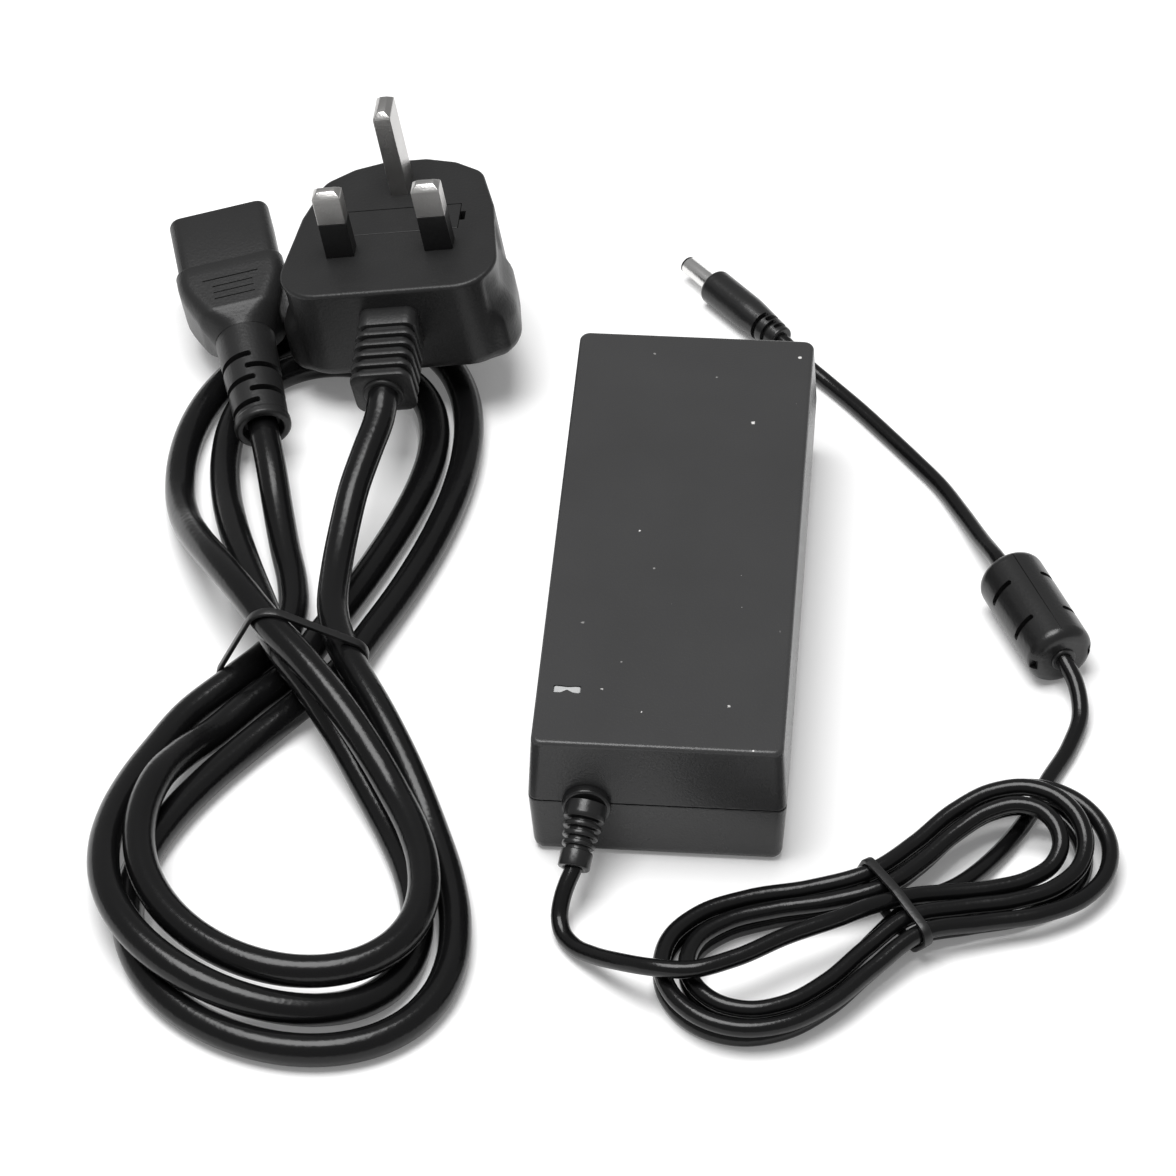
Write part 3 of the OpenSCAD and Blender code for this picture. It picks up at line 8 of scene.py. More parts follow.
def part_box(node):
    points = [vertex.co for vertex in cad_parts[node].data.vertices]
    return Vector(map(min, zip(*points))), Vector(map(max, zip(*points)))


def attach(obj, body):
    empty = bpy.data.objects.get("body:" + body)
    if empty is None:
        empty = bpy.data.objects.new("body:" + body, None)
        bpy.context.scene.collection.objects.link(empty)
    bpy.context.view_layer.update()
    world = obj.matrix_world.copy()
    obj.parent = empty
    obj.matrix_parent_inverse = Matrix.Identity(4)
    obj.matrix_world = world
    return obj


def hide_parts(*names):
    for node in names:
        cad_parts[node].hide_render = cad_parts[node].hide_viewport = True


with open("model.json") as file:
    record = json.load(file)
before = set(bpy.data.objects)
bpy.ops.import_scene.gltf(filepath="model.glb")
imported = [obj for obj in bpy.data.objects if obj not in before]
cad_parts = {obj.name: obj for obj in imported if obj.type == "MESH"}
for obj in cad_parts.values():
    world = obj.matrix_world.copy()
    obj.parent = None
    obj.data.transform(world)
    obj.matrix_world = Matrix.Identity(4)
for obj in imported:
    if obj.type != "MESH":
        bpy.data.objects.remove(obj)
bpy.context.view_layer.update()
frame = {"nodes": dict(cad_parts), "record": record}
nodes = frame["nodes"]
mm = 0.001                       # shapes are written in millimetres and become metres in makePiece
weldWithin = 2e-6                # metres within which doubled points become one
thinnestEdge = 1e-7              # metres below which an edge is dissolved
print("frame loaded:", len(nodes), "nodes")


# places and curves
def turned(angles):              # about x first, then y, then z
    x, y, z = (math.radians(a) for a in angles)
    return Matrix.Rotation(z, 4, "Z") @ Matrix.Rotation(y, 4, "Y") @ Matrix.Rotation(x, 4, "X")


def standing(point, angles=(0, 0, 0)):
    return Matrix.Translation(Vector(point)) @ turned(angles)


def aimed(point, direction):     # local +z runs along a direction
    return Matrix.Translation(Vector(point)) @ Vector(direction).to_track_quat("Z", "Y").to_matrix().to_4x4()


def clip(t):
    return min(max(t, 0), 1)


def smoothStep(t):
    return clip(t) ** 2 * (3 - 2 * clip(t))


def easeInOut(t):
    return (1 - math.cos(math.pi * clip(t))) / 2


def blended(a, b, t):
    return a + (b - a) * t


def filletPath(corners, closed=False, steps=5, support=0.0):     # corners are (x, y, radius)
    path, count = [], len(corners)
    for i, (x, y, radius) in enumerate(corners):
        here = Vector((x, y))
        if radius <= 0 or (not closed and i in (0, count - 1)):
            path.append(here)
            continue
        before = (Vector(corners[i - 1][:2]) - here).normalized()
        after = (Vector(corners[(i + 1) % count][:2]) - here).normalized()
        half = before.angle(after) / 2
        start, end = (here + way * (radius / math.tan(half)) for way in (before, after))
        centre = here + (before + after).normalized() * (radius / math.sin(half))
        a, b = start - centre, end - centre
        sweep = math.atan2(a.x * b.y - a.y * b.x, a.dot(b))
        arc = [centre + Matrix.Rotation(sweep * k / steps, 2) @ a for k in range(steps + 1)]
        if support:              # points close beside an arc keep the flats next to it flat
            arc = [start + before * support, *arc, end + after * support]
        path += arc
    return path


def roundedLoop(width, height, radius, steps=6, support=0.0):
    w, h = width / 2, height / 2
    corners = [(w, h, radius), (-w, h, radius), (-w, -h, radius), (w, -h, radius)]
    return filletPath(corners, True, steps, support)


def smoothRoute(points, step):   # even points along one smooth curve through the given ones
    p = [Vector(q) for q in points]
    gaps = [(b - a).length for a, b in zip(p, p[1:])]
    slopes = [(b - a) / gap for a, b, gap in zip(p, p[1:], gaps)]
    tangents = [slopes[0]]
    for i in range(1, len(slopes)):
        tangents.append((slopes[i - 1] * gaps[i] + slopes[i] * gaps[i - 1]) / (gaps[i - 1] + gaps[i]))
    tangents.append(slopes[-1])
    dense = []
    for i, gap in enumerate(gaps):
        count = max(6, round(gap * 5 / step))    # finer than the step that is asked for
        for k in range(count):
            t = k / count
            dense.append(p[i] * (1 + 2 * t) * (1 - t) ** 2 + tangents[i] * gap * t * (1 - t) ** 2
                         + p[i + 1] * t * t * (3 - 2 * t) - tangents[i + 1] * gap * t * t * (1 - t))
    dense.append(p[-1])
    lengths = [0.0]
    for a, b in zip(dense, dense[1:]):
        lengths.append(lengths[-1] + (b - a).length)
    total, even, at = lengths[-1], [], 0
    rings = round(total / step)
    for k in range(rings + 1):
        wanted = total * k / rings
        while at < len(dense) - 2 and lengths[at + 1] < wanted:
            at += 1
        even.append(dense[at].lerp(dense[at + 1], (wanted - lengths[at]) / (lengths[at + 1] - lengths[at])))
    return even, total


# making meshes
def loft(rings, capped=True, closed=False):
    points = [Vector(p) for ring in rings for p in ring]
    size, last = len(rings[0]), len(rings) - 1
    faces = [(i * size + k, i * size + (k + 1) % size, (i + 1) * size + (k + 1) % size, (i + 1) * size + k)
             for i in range(last) for k in range(size)]
    if closed:
        faces += [(last * size + k, last * size + (k + 1) % size, (k + 1) % size, k) for k in range(size)]
    elif capped:
        faces += [tuple(reversed(range(size))), tuple(range(last * size, (last + 1) * size))]
    return points, faces


def lathe(profile, steps=56, closed=False):      # profile is (radius, z); a radius of 0 becomes a pole
    turns = [math.tau * k / steps for k in range(steps)]
    rings = [[(r * math.cos(a), r * math.sin(a), z) for a in turns] for r, z in profile]
    return loft(rings, capped=False, closed=closed)


def boxShape(low, high):
    ring = [(low[0], low[1]), (high[0], low[1]), (high[0], high[1]), (low[0], high[1])]
    return loft([[(x, y, z) for x, y in ring] for z in (low[2], high[2])])


def arcSlot(inner, outer, width, start, stop, steps=20):         # a groove round z with round ends
    rings, reach, thinnest = [], math.radians(stop - start) * outer, 0.02
    for k in range(steps + 1):
        t = easeInOut(k / steps)
        along = min(t, 1 - t) * reach
        half = math.sqrt(max((width / 2) ** 2 - max(width / 2 - along, 0) ** 2, thinnest ** 2))
        a = math.radians(blended(start, stop, t))
        rings.append([(r * math.cos(a), r * math.sin(a), z)
                      for r, z in ((inner, -half), (outer, -half), (outer, half), (inner, half))])
    return loft(rings)


def joined(*shapes):
    points, faces = [], []
    for p, f in shapes:
        faces += [tuple(i + len(points) for i in face) for face in f]
        points += p
    return points, faces


def moved(shape, where):
    return [where @ Vector(p) for p in shape[0]], shape[1]


def addObject(name, data):
    made = bpy.data.objects.new(name, data)
    bpy.context.scene.collection.objects.link(made)
    return made


def shadeSmooth(piece, sharpFrom=35):
    piece.data.shade_smooth()
    piece.data.set_sharp_from_angle(angle=math.radians(sharpFrom))


def makePiece(name, shape, where=Matrix.Identity(4), sharpFrom=35):
    mesh = bpy.data.meshes.new(name)
    mesh.from_pydata([(where @ Vector(p)) * mm for p in shape[0]], [], shape[1])
    form = bmesh.new()
    form.from_mesh(mesh)
    bmesh.ops.remove_doubles(form, verts=form.verts, dist=weldWithin)
    bmesh.ops.dissolve_degenerate(form, edges=form.edges, dist=thinnestEdge)
    bmesh.ops.recalc_face_normals(form, faces=form.faces)
    form.to_mesh(mesh)
    form.free()
    piece = addObject(name, mesh)
    shadeSmooth(piece, sharpFrom)
    return piece


def bake(piece, sharpFrom=35):   # modifiers become plain mesh
    bpy.context.view_layer.update()
    graph = bpy.context.evaluated_depsgraph_get()
    mesh = bpy.data.meshes.new_from_object(piece.evaluated_get(graph), depsgraph=graph)
    piece.modifiers.clear()
    piece.data = mesh
    shadeSmooth(piece, sharpFrom)
    return piece


def carve(piece, tools, how="DIFFERENCE", sharpFrom=35):
    for tool in tools:
        cut = piece.modifiers.new("cut", "BOOLEAN")
        cut.operation, cut.solver, cut.object = how, "EXACT", tool
    bake(piece, sharpFrom)
    for tool in tools:
        bpy.data.objects.remove(tool)
    return piece


def softenNode(nodeName, width, segments=2):     # a moulded copy of a squarish node, named in camel case
    first, *others = nodeName.split("_")
    piece = addObject(first + "".join(word.title() for word in others), nodes[nodeName].data.copy())
    form = bmesh.new()
    form.from_mesh(piece.data)
    bmesh.ops.remove_doubles(form, verts=form.verts, dist=weldWithin)
    bmesh.ops.dissolve_limit(form, angle_limit=math.radians(1), verts=form.verts, edges=form.edges)
    form.to_mesh(piece.data)
    form.free()
    bevel = piece.modifiers.new("edges", "BEVEL")
    bevel.width, bevel.segments = width * mm, segments
    bevel.limit_method, bevel.angle_limit = "ANGLE", math.radians(35)
    return bake(piece, sharpFrom=20)             # flat faces stay flat beside their eased edges


# node trees
def addNode(tree, kind, values=None, links=None, **settings):    # adds a node, sets it and wires it
    made = tree.nodes.new(kind)
    for key, value in settings.items():
        setattr(made, key, value)
    for key, value in (values or {}).items():
        made.inputs[key].default_value = value
    for key, source in (links or {}).items():
        tree.links.new(source, made.inputs[key])
    return made


def calc(tree, operation, a, b=None, clamp=False):
    made = addNode(tree, "ShaderNodeMath", operation=operation, use_clamp=clamp)
    for socket, value in zip(made.inputs, (a, b)):
        if isinstance(value, (int, float)):
            socket.default_value = value
        elif value is not None:
            tree.links.new(value, socket)
    return made.outputs[0]


def newTree(name, inputs):
    tree = bpy.data.node_groups.new(name, "GeometryNodeTree")
    tree.interface.new_socket("Geometry", in_out="INPUT", socket_type="NodeSocketGeometry")
    for label, kind in inputs:
        tree.interface.new_socket(label, in_out="INPUT", socket_type=kind)
    tree.interface.new_socket("Material", in_out="INPUT", socket_type="NodeSocketMaterial")
    tree.interface.new_socket("Geometry", in_out="OUTPUT", socket_type="NodeSocketGeometry")
    return tree, tree.nodes.new("NodeGroupInput"), tree.nodes.new("NodeGroupOutput")


def finishTree(tree, given, out, geometry):
    real = addNode(tree, "GeometryNodeRealizeInstances", links={"Geometry": geometry})
    dressed = addNode(tree, "GeometryNodeSetMaterial",
                      links={"Geometry": real.outputs[0], "Material": given.outputs["Material"]})
    tree.links.new(dressed.outputs[0], out.inputs["Geometry"])
    return tree


def buildSweep():                # a round jacket along a chain of edges
    tree, given, out = newTree("sweptJacket", [("Diameter", "NodeSocketFloat"), ("Sides", "NodeSocketInt")])
    line = addNode(tree, "GeometryNodeMeshToCurve", links={"Mesh": given.outputs["Geometry"]})
    radius = calc(tree, "MULTIPLY", given.outputs["Diameter"], 0.5)
    ring = addNode(tree, "GeometryNodeCurvePrimitiveCircle",
                   links={"Resolution": given.outputs["Sides"], "Radius": radius})
    tube = addNode(tree, "GeometryNodeCurveToMesh", {"Fill Caps": True},
                   {"Curve": line.outputs[0], "Profile Curve": ring.outputs[0]})
    return finishTree(tree, given, out, tube.outputs[0])


def buildRow():                  # copies of a shape at even steps
    tree, given, out = newTree("evenRow", [("Count", "NodeSocketInt"), ("Step", "NodeSocketVector")])
    spots = addNode(tree, "GeometryNodeMeshLine",
                    links={"Count": given.outputs["Count"], "Offset": given.outputs["Step"]})
    copies = addNode(tree, "GeometryNodeInstanceOnPoints",
                     links={"Points": spots.outputs[0], "Instance": given.outputs["Geometry"]})
    return finishTree(tree, given, out, copies.outputs[0])


def grow(piece, tree, values):   # runs a tree on a piece and keeps the result
    modifier = piece.modifiers.new(tree.name, "NODES")
    modifier.node_group = tree
    for item in tree.interface.items_tree:
        if item.in_out == "INPUT" and item.name in values:
            modifier[item.identifier] = values[item.name]
    return bake(piece)


sweepTree, rowTree = buildSweep(), buildRow()


def rowOf(name, shape, where, count, step, material):            # step is in the place's own directions
    across = (where.to_3x3() @ Vector(step)) * mm
    return grow(makePiece(name, shape, where), rowTree,
                {"Count": count, "Step": tuple(across), "Material": material})


# shader groups
def newGroup(name, inputs, outputs):
    group = bpy.data.node_groups.new(name, "ShaderNodeTree")
    for label, value in inputs:
        socket = group.interface.new_socket(label, in_out="INPUT", socket_type="NodeSocketFloat")
        socket.default_value = value
    for label in outputs:
        group.interface.new_socket(label, in_out="OUTPUT", socket_type="NodeSocketFloat")
    return group, group.nodes.new("NodeGroupInput"), group.nodes.new("NodeGroupOutput")


def buildGrain():                # the spark-eroded grain that a mould leaves
    group, given, out = newGroup("mouldGrain", [("Cell Size", 0.0004), ("Mottle Size", 0.012)],
                                 ["Height", "Mottle"])
    where = addNode(group, "ShaderNodeTexCoord").outputs["Object"]
    fine = calc(group, "DIVIDE", 1.0, given.outputs["Cell Size"])
    wide = calc(group, "DIVIDE", 1.0, given.outputs["Mottle Size"])
    grit = addNode(group, "ShaderNodeTexNoise", {"Detail": 3.0, "Roughness": 0.65},
                   {"Vector": where, "Scale": fine})
    pits = addNode(group, "ShaderNodeTexVoronoi", {"Smoothness": 0.6}, {"Vector": where, "Scale": fine},
                   feature="SMOOTH_F1")
    cloud = addNode(group, "ShaderNodeTexNoise", {"Detail": 4.0, "Roughness": 0.55},
                    {"Vector": where, "Scale": wide})
    gritShare, pitShare = 0.7, 0.5
    height = calc(group, "ADD", calc(group, "MULTIPLY", grit.outputs["Fac"], gritShare),
                  calc(group, "MULTIPLY", pits.outputs["Distance"], pitShare))
    group.links.new(height, out.inputs["Height"])
    group.links.new(cloud.outputs["Fac"], out.inputs["Mottle"])
    return group


def buildDust():                 # sparse pale specks on faces that look up
    group, given, out = newGroup("settledDust", [("Spacing", 0.006), ("Speck Size", 0.04), ("Share", 0.15),
                                                 ("Lean", 0.0)], ["Mask"])
    edgeSharpness, faintest = 3.0, 0.3
    steepest, levelSharpness = 0.6, 3.0          # how level a face has to be to hold specks
    where = addNode(group, "ShaderNodeTexCoord").outputs["Object"]
    flat = addNode(group, "ShaderNodeVectorMath", {1: (1.0, 1.0, 0.0)}, {0: where}, operation="MULTIPLY")
    ragged = addNode(group, "ShaderNodeTexNoise", {"Scale": 2600.0, "Detail": 1.0}, {"Vector": where})
    density = calc(group, "DIVIDE", 1.0, given.outputs["Spacing"])
    cells = addNode(group, "ShaderNodeTexVoronoi", links={"Vector": flat.outputs[0], "Scale": density})
    tint = addNode(group, "ShaderNodeSeparateColor", links={"Color": cells.outputs["Color"]})
    axes = addNode(group, "ShaderNodeSeparateXYZ", links={"Vector": where})
    share = calc(group, "SUBTRACT", given.outputs["Share"],      # more of them lie towards -y
                 calc(group, "MULTIPLY", axes.outputs["Y"], given.outputs["Lean"]))
    chosen = calc(group, "LESS_THAN", tint.outputs[0], share)
    size = calc(group, "MULTIPLY", given.outputs["Speck Size"],
                calc(group, "ADD", calc(group, "POWER", tint.outputs[1], 3.0), ragged.outputs["Fac"]))
    near = calc(group, "SUBTRACT", 1.0, calc(group, "DIVIDE", cells.outputs["Distance"], size), clamp=True)
    soft = calc(group, "MULTIPLY", near, edgeSharpness, clamp=True)
    facing = addNode(group, "ShaderNodeSeparateXYZ",
                     links={"Vector": addNode(group, "ShaderNodeNewGeometry").outputs["Normal"]})
    level = calc(group, "MULTIPLY", calc(group, "SUBTRACT", facing.outputs["Z"], steepest),
                 levelSharpness, clamp=True)
    mask = calc(group, "MULTIPLY", calc(group, "MULTIPLY", soft, chosen), level)
    strength = calc(group, "ADD", tint.outputs[2], faintest)
    group.links.new(calc(group, "MULTIPLY", mask, strength, clamp=True), out.inputs["Mask"])
    return group


def buildRub():                  # handling leaves drawn-out, smoother strokes
    group, given, out = newGroup("handlingRub", [("Stroke Size", 0.02), ("Amount", 0.5)], ["Mask"])
    untouched, contrast = 0.42, 4.0
    where = addNode(group, "ShaderNodeTexCoord").outputs["Object"]
    drawn = addNode(group, "ShaderNodeMapping", {"Scale": (1.0, 0.35, 0.8), "Rotation": (0.2, 0.1, 0.7)},
                    {"Vector": where})
    strokes = addNode(group, "ShaderNodeTexNoise", {"Detail": 5.0, "Roughness": 0.6, "Distortion": 0.4},
                      {"Vector": drawn.outputs[0],
                       "Scale": calc(group, "DIVIDE", 1.0, given.outputs["Stroke Size"])})
    lifted = calc(group, "MULTIPLY", calc(group, "SUBTRACT", strokes.outputs["Fac"], untouched),
                  contrast, clamp=True)
    group.links.new(calc(group, "MULTIPLY", lifted, given.outputs["Amount"]), out.inputs["Mask"])
    return group


grainGroup, dustGroup, rubGroup = buildGrain(), buildDust(), buildRub()


def mixColours(tree, mask, low, high):           # sockets 0, 6 and 7 are the factor and the two colours
    made = addNode(tree, "ShaderNodeMix", data_type="RGBA")
    tree.links.new(mask, made.inputs[0])
    for index, value in ((6, low), (7, high)):
        if isinstance(value, tuple):
            made.inputs[index].default_value = (*value, 1)
        else:
            tree.links.new(value, made.inputs[index])
    return made.outputs[2]


# finishes
plainLook = {"mottle": 0.012, "mix": 0.8, "paler": 1.3, "lift": 0.003, "stroke": 0.02, "rub": 0.4,
             "polish": 0.08, "relief": 0.4, "metallic": 0.0, "specular": 0.5}


def makeFinish(name, look):      # a finish names only what differs from the plain look
    material = bpy.data.materials.new(name)
    material.use_nodes = True
    tree = material.node_tree
    shader = tree.nodes["Principled BSDF"]
    look = {**plainLook, **look}
    grain = addNode(tree, "ShaderNodeGroup", {"Cell Size": look["grain"], "Mottle Size": look["mottle"]},
                    node_tree=grainGroup)
    rub = addNode(tree, "ShaderNodeGroup", {"Stroke Size": look["stroke"], "Amount": look["rub"]},
                  node_tree=rubGroup)
    pale = look.get("pale", tuple(c * look["paler"] + look["lift"] for c in look["colour"]))
    base = mixColours(tree, calc(tree, "MULTIPLY", grain.outputs["Mottle"], look["mix"]),
                      look["colour"], pale)
    if "dust" in look:
        dust = addNode(tree, "ShaderNodeGroup", look["dust"], node_tree=dustGroup)
        base = mixColours(tree, dust.outputs["Mask"], base, look["dustColour"])
    tree.links.new(base, shader.inputs["Base Color"])
    rough = calc(tree, "SUBTRACT", look["roughness"],
                 calc(tree, "MULTIPLY", rub.outputs["Mask"], look["polish"]))
    tree.links.new(rough, shader.inputs["Roughness"])
    bump = addNode(tree, "ShaderNodeBump",
                   {"Strength": look["bump"], "Distance": look["grain"] * look["relief"]},
                   {"Height": grain.outputs["Height"]})
    tree.links.new(bump.outputs["Normal"], shader.inputs["Normal"])
    shader.inputs["Metallic"].default_value = look["metallic"]
    shader.inputs["Specular IOR Level"].default_value = look["specular"]
    return material


finishes = {
    "brickPlastic": {"colour": (0.034, 0.034, 0.0345), "roughness": 0.29, "grain": 0.0005, "bump": 0.3,
                     "specular": 0.3, "mottle": 0.03, "dustColour": (0.62, 0.61, 0.6),
                     "dust": {"Spacing": 0.0045, "Speck Size": 0.11, "Share": 0.26, "Lean": 2.8}},
    "plugPlastic": {"colour": (0.014, 0.014, 0.0142), "roughness": 0.4, "grain": 0.0007, "bump": 0.2,
                    "specular": 0.3},
    "sleevePlastic": {"colour": (0.01, 0.01, 0.0102), "roughness": 0.3, "grain": 0.0008, "bump": 0.12,
                      "specular": 0.42},
    "cordPlastic": {"colour": (0.003, 0.003, 0.0032), "roughness": 0.22, "grain": 0.0011, "bump": 0.1,
                    "specular": 0.3, "mottle": 0.02},
    "hardPlastic": {"colour": (0.004, 0.004, 0.0042), "roughness": 0.36, "grain": 0.0008, "bump": 0.1},
    "tieCoat": {"colour": (0.005, 0.005, 0.0052), "roughness": 0.4, "grain": 0.0006, "bump": 0.2},
    # nickel in two copies whose difference is painted light: this one darker for painted shade on the pins'
    # faces, the next one lighter for the barrel's painted reflection, though its lower roughness is real
    "shadedNickel": {"colour": (0.42, 0.415, 0.405), "pale": (0.62, 0.61, 0.6), "roughness": 0.36,
                    "grain": 0.0005, "bump": 0.25, "metallic": 1.0, "polish": 0.1, "rub": 1.0},
    "litNickel": {"colour": (0.7, 0.695, 0.685), "pale": (0.84, 0.835, 0.825), "roughness": 0.24,
                     "grain": 0.0005, "bump": 0.15, "metallic": 1.0},
    "springBrass": {"colour": (0.62, 0.45, 0.19), "pale": (0.76, 0.60, 0.32), "roughness": 0.3,
                    "grain": 0.0005, "bump": 0.15, "metallic": 1.0},
    "lightPipe": {"colour": (0.36, 0.365, 0.365), "pale": (0.5, 0.505, 0.505), "roughness": 0.35,
                  "grain": 0.0004, "bump": 0.2, "mottle": 0.0015},
    "lampEpoxy": {"colour": (0.35, 0.62, 0.35), "roughness": 0.15, "grain": 0.001, "bump": 0.05},
    "wireSkin": {"colour": (0.16, 0.09, 0.05), "roughness": 0.4, "grain": 0.0006, "bump": 0.1},
    "boardMask": {"colour": (0.03, 0.11, 0.05), "roughness": 0.35, "grain": 0.0008, "bump": 0.3,
                  "mottle": 0.004, "mix": 1.0},
    "fibrePaper": {"colour": (0.66, 0.60, 0.45), "roughness": 0.8, "grain": 0.0007, "bump": 0.5},
    "fuseCeramic": {"colour": (0.72, 0.70, 0.64), "roughness": 0.5, "grain": 0.0006, "bump": 0.2},
    "filmBox": {"colour": (0.42, 0.28, 0.05), "roughness": 0.35, "grain": 0.001, "bump": 0.1},
    "sinteredFerrite": {"colour": (0.032, 0.031, 0.032), "roughness": 0.6, "grain": 0.0005, "bump": 0.5},
    "enamelCopper": {"colour": (0.46, 0.17, 0.06), "pale": (0.62, 0.27, 0.12), "roughness": 0.3,
                     "grain": 0.0006, "bump": 0.4, "metallic": 1.0},
    "epoxyPackage": {"colour": (0.02, 0.02, 0.021), "roughness": 0.55, "grain": 0.0004, "bump": 0.3},
    "shrinkSleeve": {"colour": (0.02, 0.035, 0.11), "roughness": 0.25, "grain": 0.002, "bump": 0.1},
    "millAluminium": {"colour": (0.62, 0.63, 0.64), "roughness": 0.38, "grain": 0.0007, "bump": 0.3,
                      "metallic": 1.0},
}
materials = {name: makeFinish(name, look) for name, look in finishes.items()}
slotFinishes = {
    "case_plastic": "brickPlastic", "window": "lightPipe", "lamp": "lampEpoxy",
    "moulded_plastic": "hardPlastic", "nickel": "shadedNickel", "wire_insulation": "wireSkin",
    "board": "boardMask", "fish_paper": "fibrePaper", "fuse_body": "fuseCeramic", "film": "filmBox",
    "ferrite": "sinteredFerrite", "copper": "enamelCopper", "package": "epoxyPackage",
    "sleeving": "shrinkSleeve", "sink_aluminium": "millAluminium", "cord_jacket": "cordPlastic",
    "tie": "tieCoat", "brass": "springBrass"}
for part in frame["record"]["subparts"]:
    dressed = nodes[part["node"]].data.materials
    dressed.clear()
    dressed.append(materials[slotFinishes[part["material_slot"]]])
nodes["plug_pin_carrier"].data.materials[0] = materials["plugPlastic"]
print("finishes ready:", len(materials))


def settle(piece, body, replaced, material=None):
    if material:
        piece.data.materials.clear()
        piece.data.materials.append(materials[material])
    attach(piece, body)
    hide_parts(*replaced)
    return piece


def settleSoftened(node, edge, body, material):
    return settle(softenNode(node, edge), body, [node], material)


# camera
camera = {"at": (55.19, -789.61, 774.06), "azimuth": 5.372, "elevation": 43.761, "roll": -1.123,
          "focalPixels": 5200, "imagePixels": 1176, "filmWidth": 36, "near": 0.05, "far": 30}


def addCamera(c):
    lens = bpy.data.cameras.new("studioCamera")
    lens.sensor_width = c["filmWidth"]
    lens.lens = c["filmWidth"] * c["focalPixels"] / c["imagePixels"]
    lens.clip_start, lens.clip_end = c["near"], c["far"]
    made = addObject("studioCamera", lens)
    a, e, r = (math.radians(c[key]) for key in ("azimuth", "elevation", "roll"))
    back = Vector((math.sin(a) * math.cos(e), -math.cos(a) * math.cos(e), math.sin(e)))
    right = Vector((0, 0, 1)).cross(back).normalized()
    up = back.cross(right)
    axes = (right * math.cos(r) + up * math.sin(r), up * math.cos(r) - right * math.sin(r), back)
    made.matrix_world = Matrix.Translation(Vector(c["at"]) * mm) @ Matrix(axes).transposed().to_4x4()
    bpy.context.scene.camera = made


addCamera(camera)

# the cords' sizes, which their fittings share; a jacket reaches runIn into a moulding
leads = {"leadDia": 3.6, "cordDia": 6.7, "runIn": 3.2, "snug": 0.02}


# brick
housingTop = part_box("upper_housing")[1]
brick = {"height": housingTop.z / mm, "width": 2 * housingTop.x / mm, "length": 2 * housingTop.y / mm,
         "split": 15.7, "wall": 2.2, "topLean": 0.8, "baseLean": 0.95, "corner": 2.2, "innerCorner": 0.8,
         "topEdge": 0.9, "baseEdge": 2.4, "innerEdge": 0.6, "seamWidth": 0.35, "seamDepth": 0.45,
         "seamEdge": 0.1, "support": 0.3, "lip": 1.6, "fit": 0.1, "capReach": 9,
         "postIn": 4, "postDia": 6, "postRoot": 1, "pegDia": 2.6, "pegTip": 0.8, "pegEase": 0.4,
         "socketRim": 1.4, "inletCut": (-12, 5), "neckCut": (-6, 8)}    # cuts run in and out of the end walls
endY = brick["length"] / 2


def housingRings(profile):       # profile is (inset from the widest outline, height, radius)
    rings, support = [], brick["support"]
    for inset, z in filletPath(profile, steps=4, support=support):
        corner = max(brick["corner"] - max(inset - brick["topLean"], 0), brick["innerCorner"])
        loop = roundedLoop(brick["width"] - 2 * inset, brick["length"] - 2 * inset, corner, 7, support)
        rings.append([(p.x, p.y, z) for p in loop])
    return loft(rings)


def upperProfile(b):
    split, wall, depth, cap = (b[key] for key in ("split", "wall", "seamDepth", "capReach"))
    seam, rim, ceiling = split + b["seamWidth"] / 2, split + b["lip"] + b["fit"], b["height"] - wall
    return [(cap, b["height"], 0), (b["topLean"], b["height"], b["topEdge"]), (0, seam, b["seamEdge"]),
            (depth, seam, 0), (depth, split, 0), (wall / 2, split, 0), (wall / 2, rim, 0), (wall, rim, 0),
            (wall + b["topLean"], ceiling, b["innerEdge"]), (cap, ceiling, 0)]


def lowerProfile(b):
    split, wall, depth, cap = (b[key] for key in ("split", "wall", "seamDepth", "capReach"))
    seam, lip, lipTop = split - b["seamWidth"] / 2, wall / 2 + b["fit"], split + b["lip"]
    return [(cap, 0, 0), (b["baseLean"], 0, b["baseEdge"]), (0, seam, b["seamEdge"]), (depth, seam, 0),
            (depth, split, 0), (lip, split, 0), (lip, lipTop, 0), (wall, lipTop, 0), (wall, split, 0),
            (wall + b["baseLean"], wall, b["innerEdge"]), (cap, wall, 0)]


def postShapes(b):               # the pegged posts that carry the circuit board
    low, high = (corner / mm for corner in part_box("circuit_board"))
    sides = [low.x + b["postIn"], high.x - b["postIn"]]
    ends = [low.y + b["postIn"], high.y - b["postIn"]]
    post, peg, ease, foot = b["postDia"] / 2, b["pegDia"] / 2, b["pegEase"], b["wall"] - b["postRoot"]
    tip = high.z + b["pegTip"]
    profile = [(0, foot), (post, foot), (post, low.z), (peg, low.z), (peg, tip - ease), (peg - ease, tip),
               (0, tip)]
    return joined(*[moved(lathe(profile, 28), standing((x, y, 0))) for x in sides for y in ends])


# status window: a lamp's pipe whose face is cut to a bow-tie, pale lobes of painted reflection either side of
# a waist of painted shade on one side
# the outline draws the painted reflection; its notch is the painted shade of the lamp inside the pipe
window = {"outline": [(-2.75, -0.98, 0.3), (-1.3, -0.98, 0.5), (-0.05, -0.12, 0.25), (1.2, -0.9, 0.5),
                      (2.3, -1.05, 0.3), (2.75, -0.75, 0.3), (2.75, 0.98, 0.3), (1.6, 0.98, 0.6),
                      (0, 0.78, 1.0), (-1.6, 1.0, 0.6), (-2.75, 1.0, 0.3)],
          "half": (2.75, 1.05), "sunk": 0.12, "edge": 0.18, "crown": 0.02, "pipe": 3.0, "lip": 0.6,
          "lipDepth": 1, "hole": 0.05, "play": 0.04}
windowLow, windowHigh = (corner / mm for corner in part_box("light_window"))
windowAt = (windowLow + windowHigh) / 2


def windowRing(spread, z):       # the outline made larger or smaller in its own proportions
    x, y = (1 + spread / half for half in window["half"])
    return [(windowAt.x + p.x * x, windowAt.y + p.y * y, z) for p in filletPath(window["outline"], True, 3)]


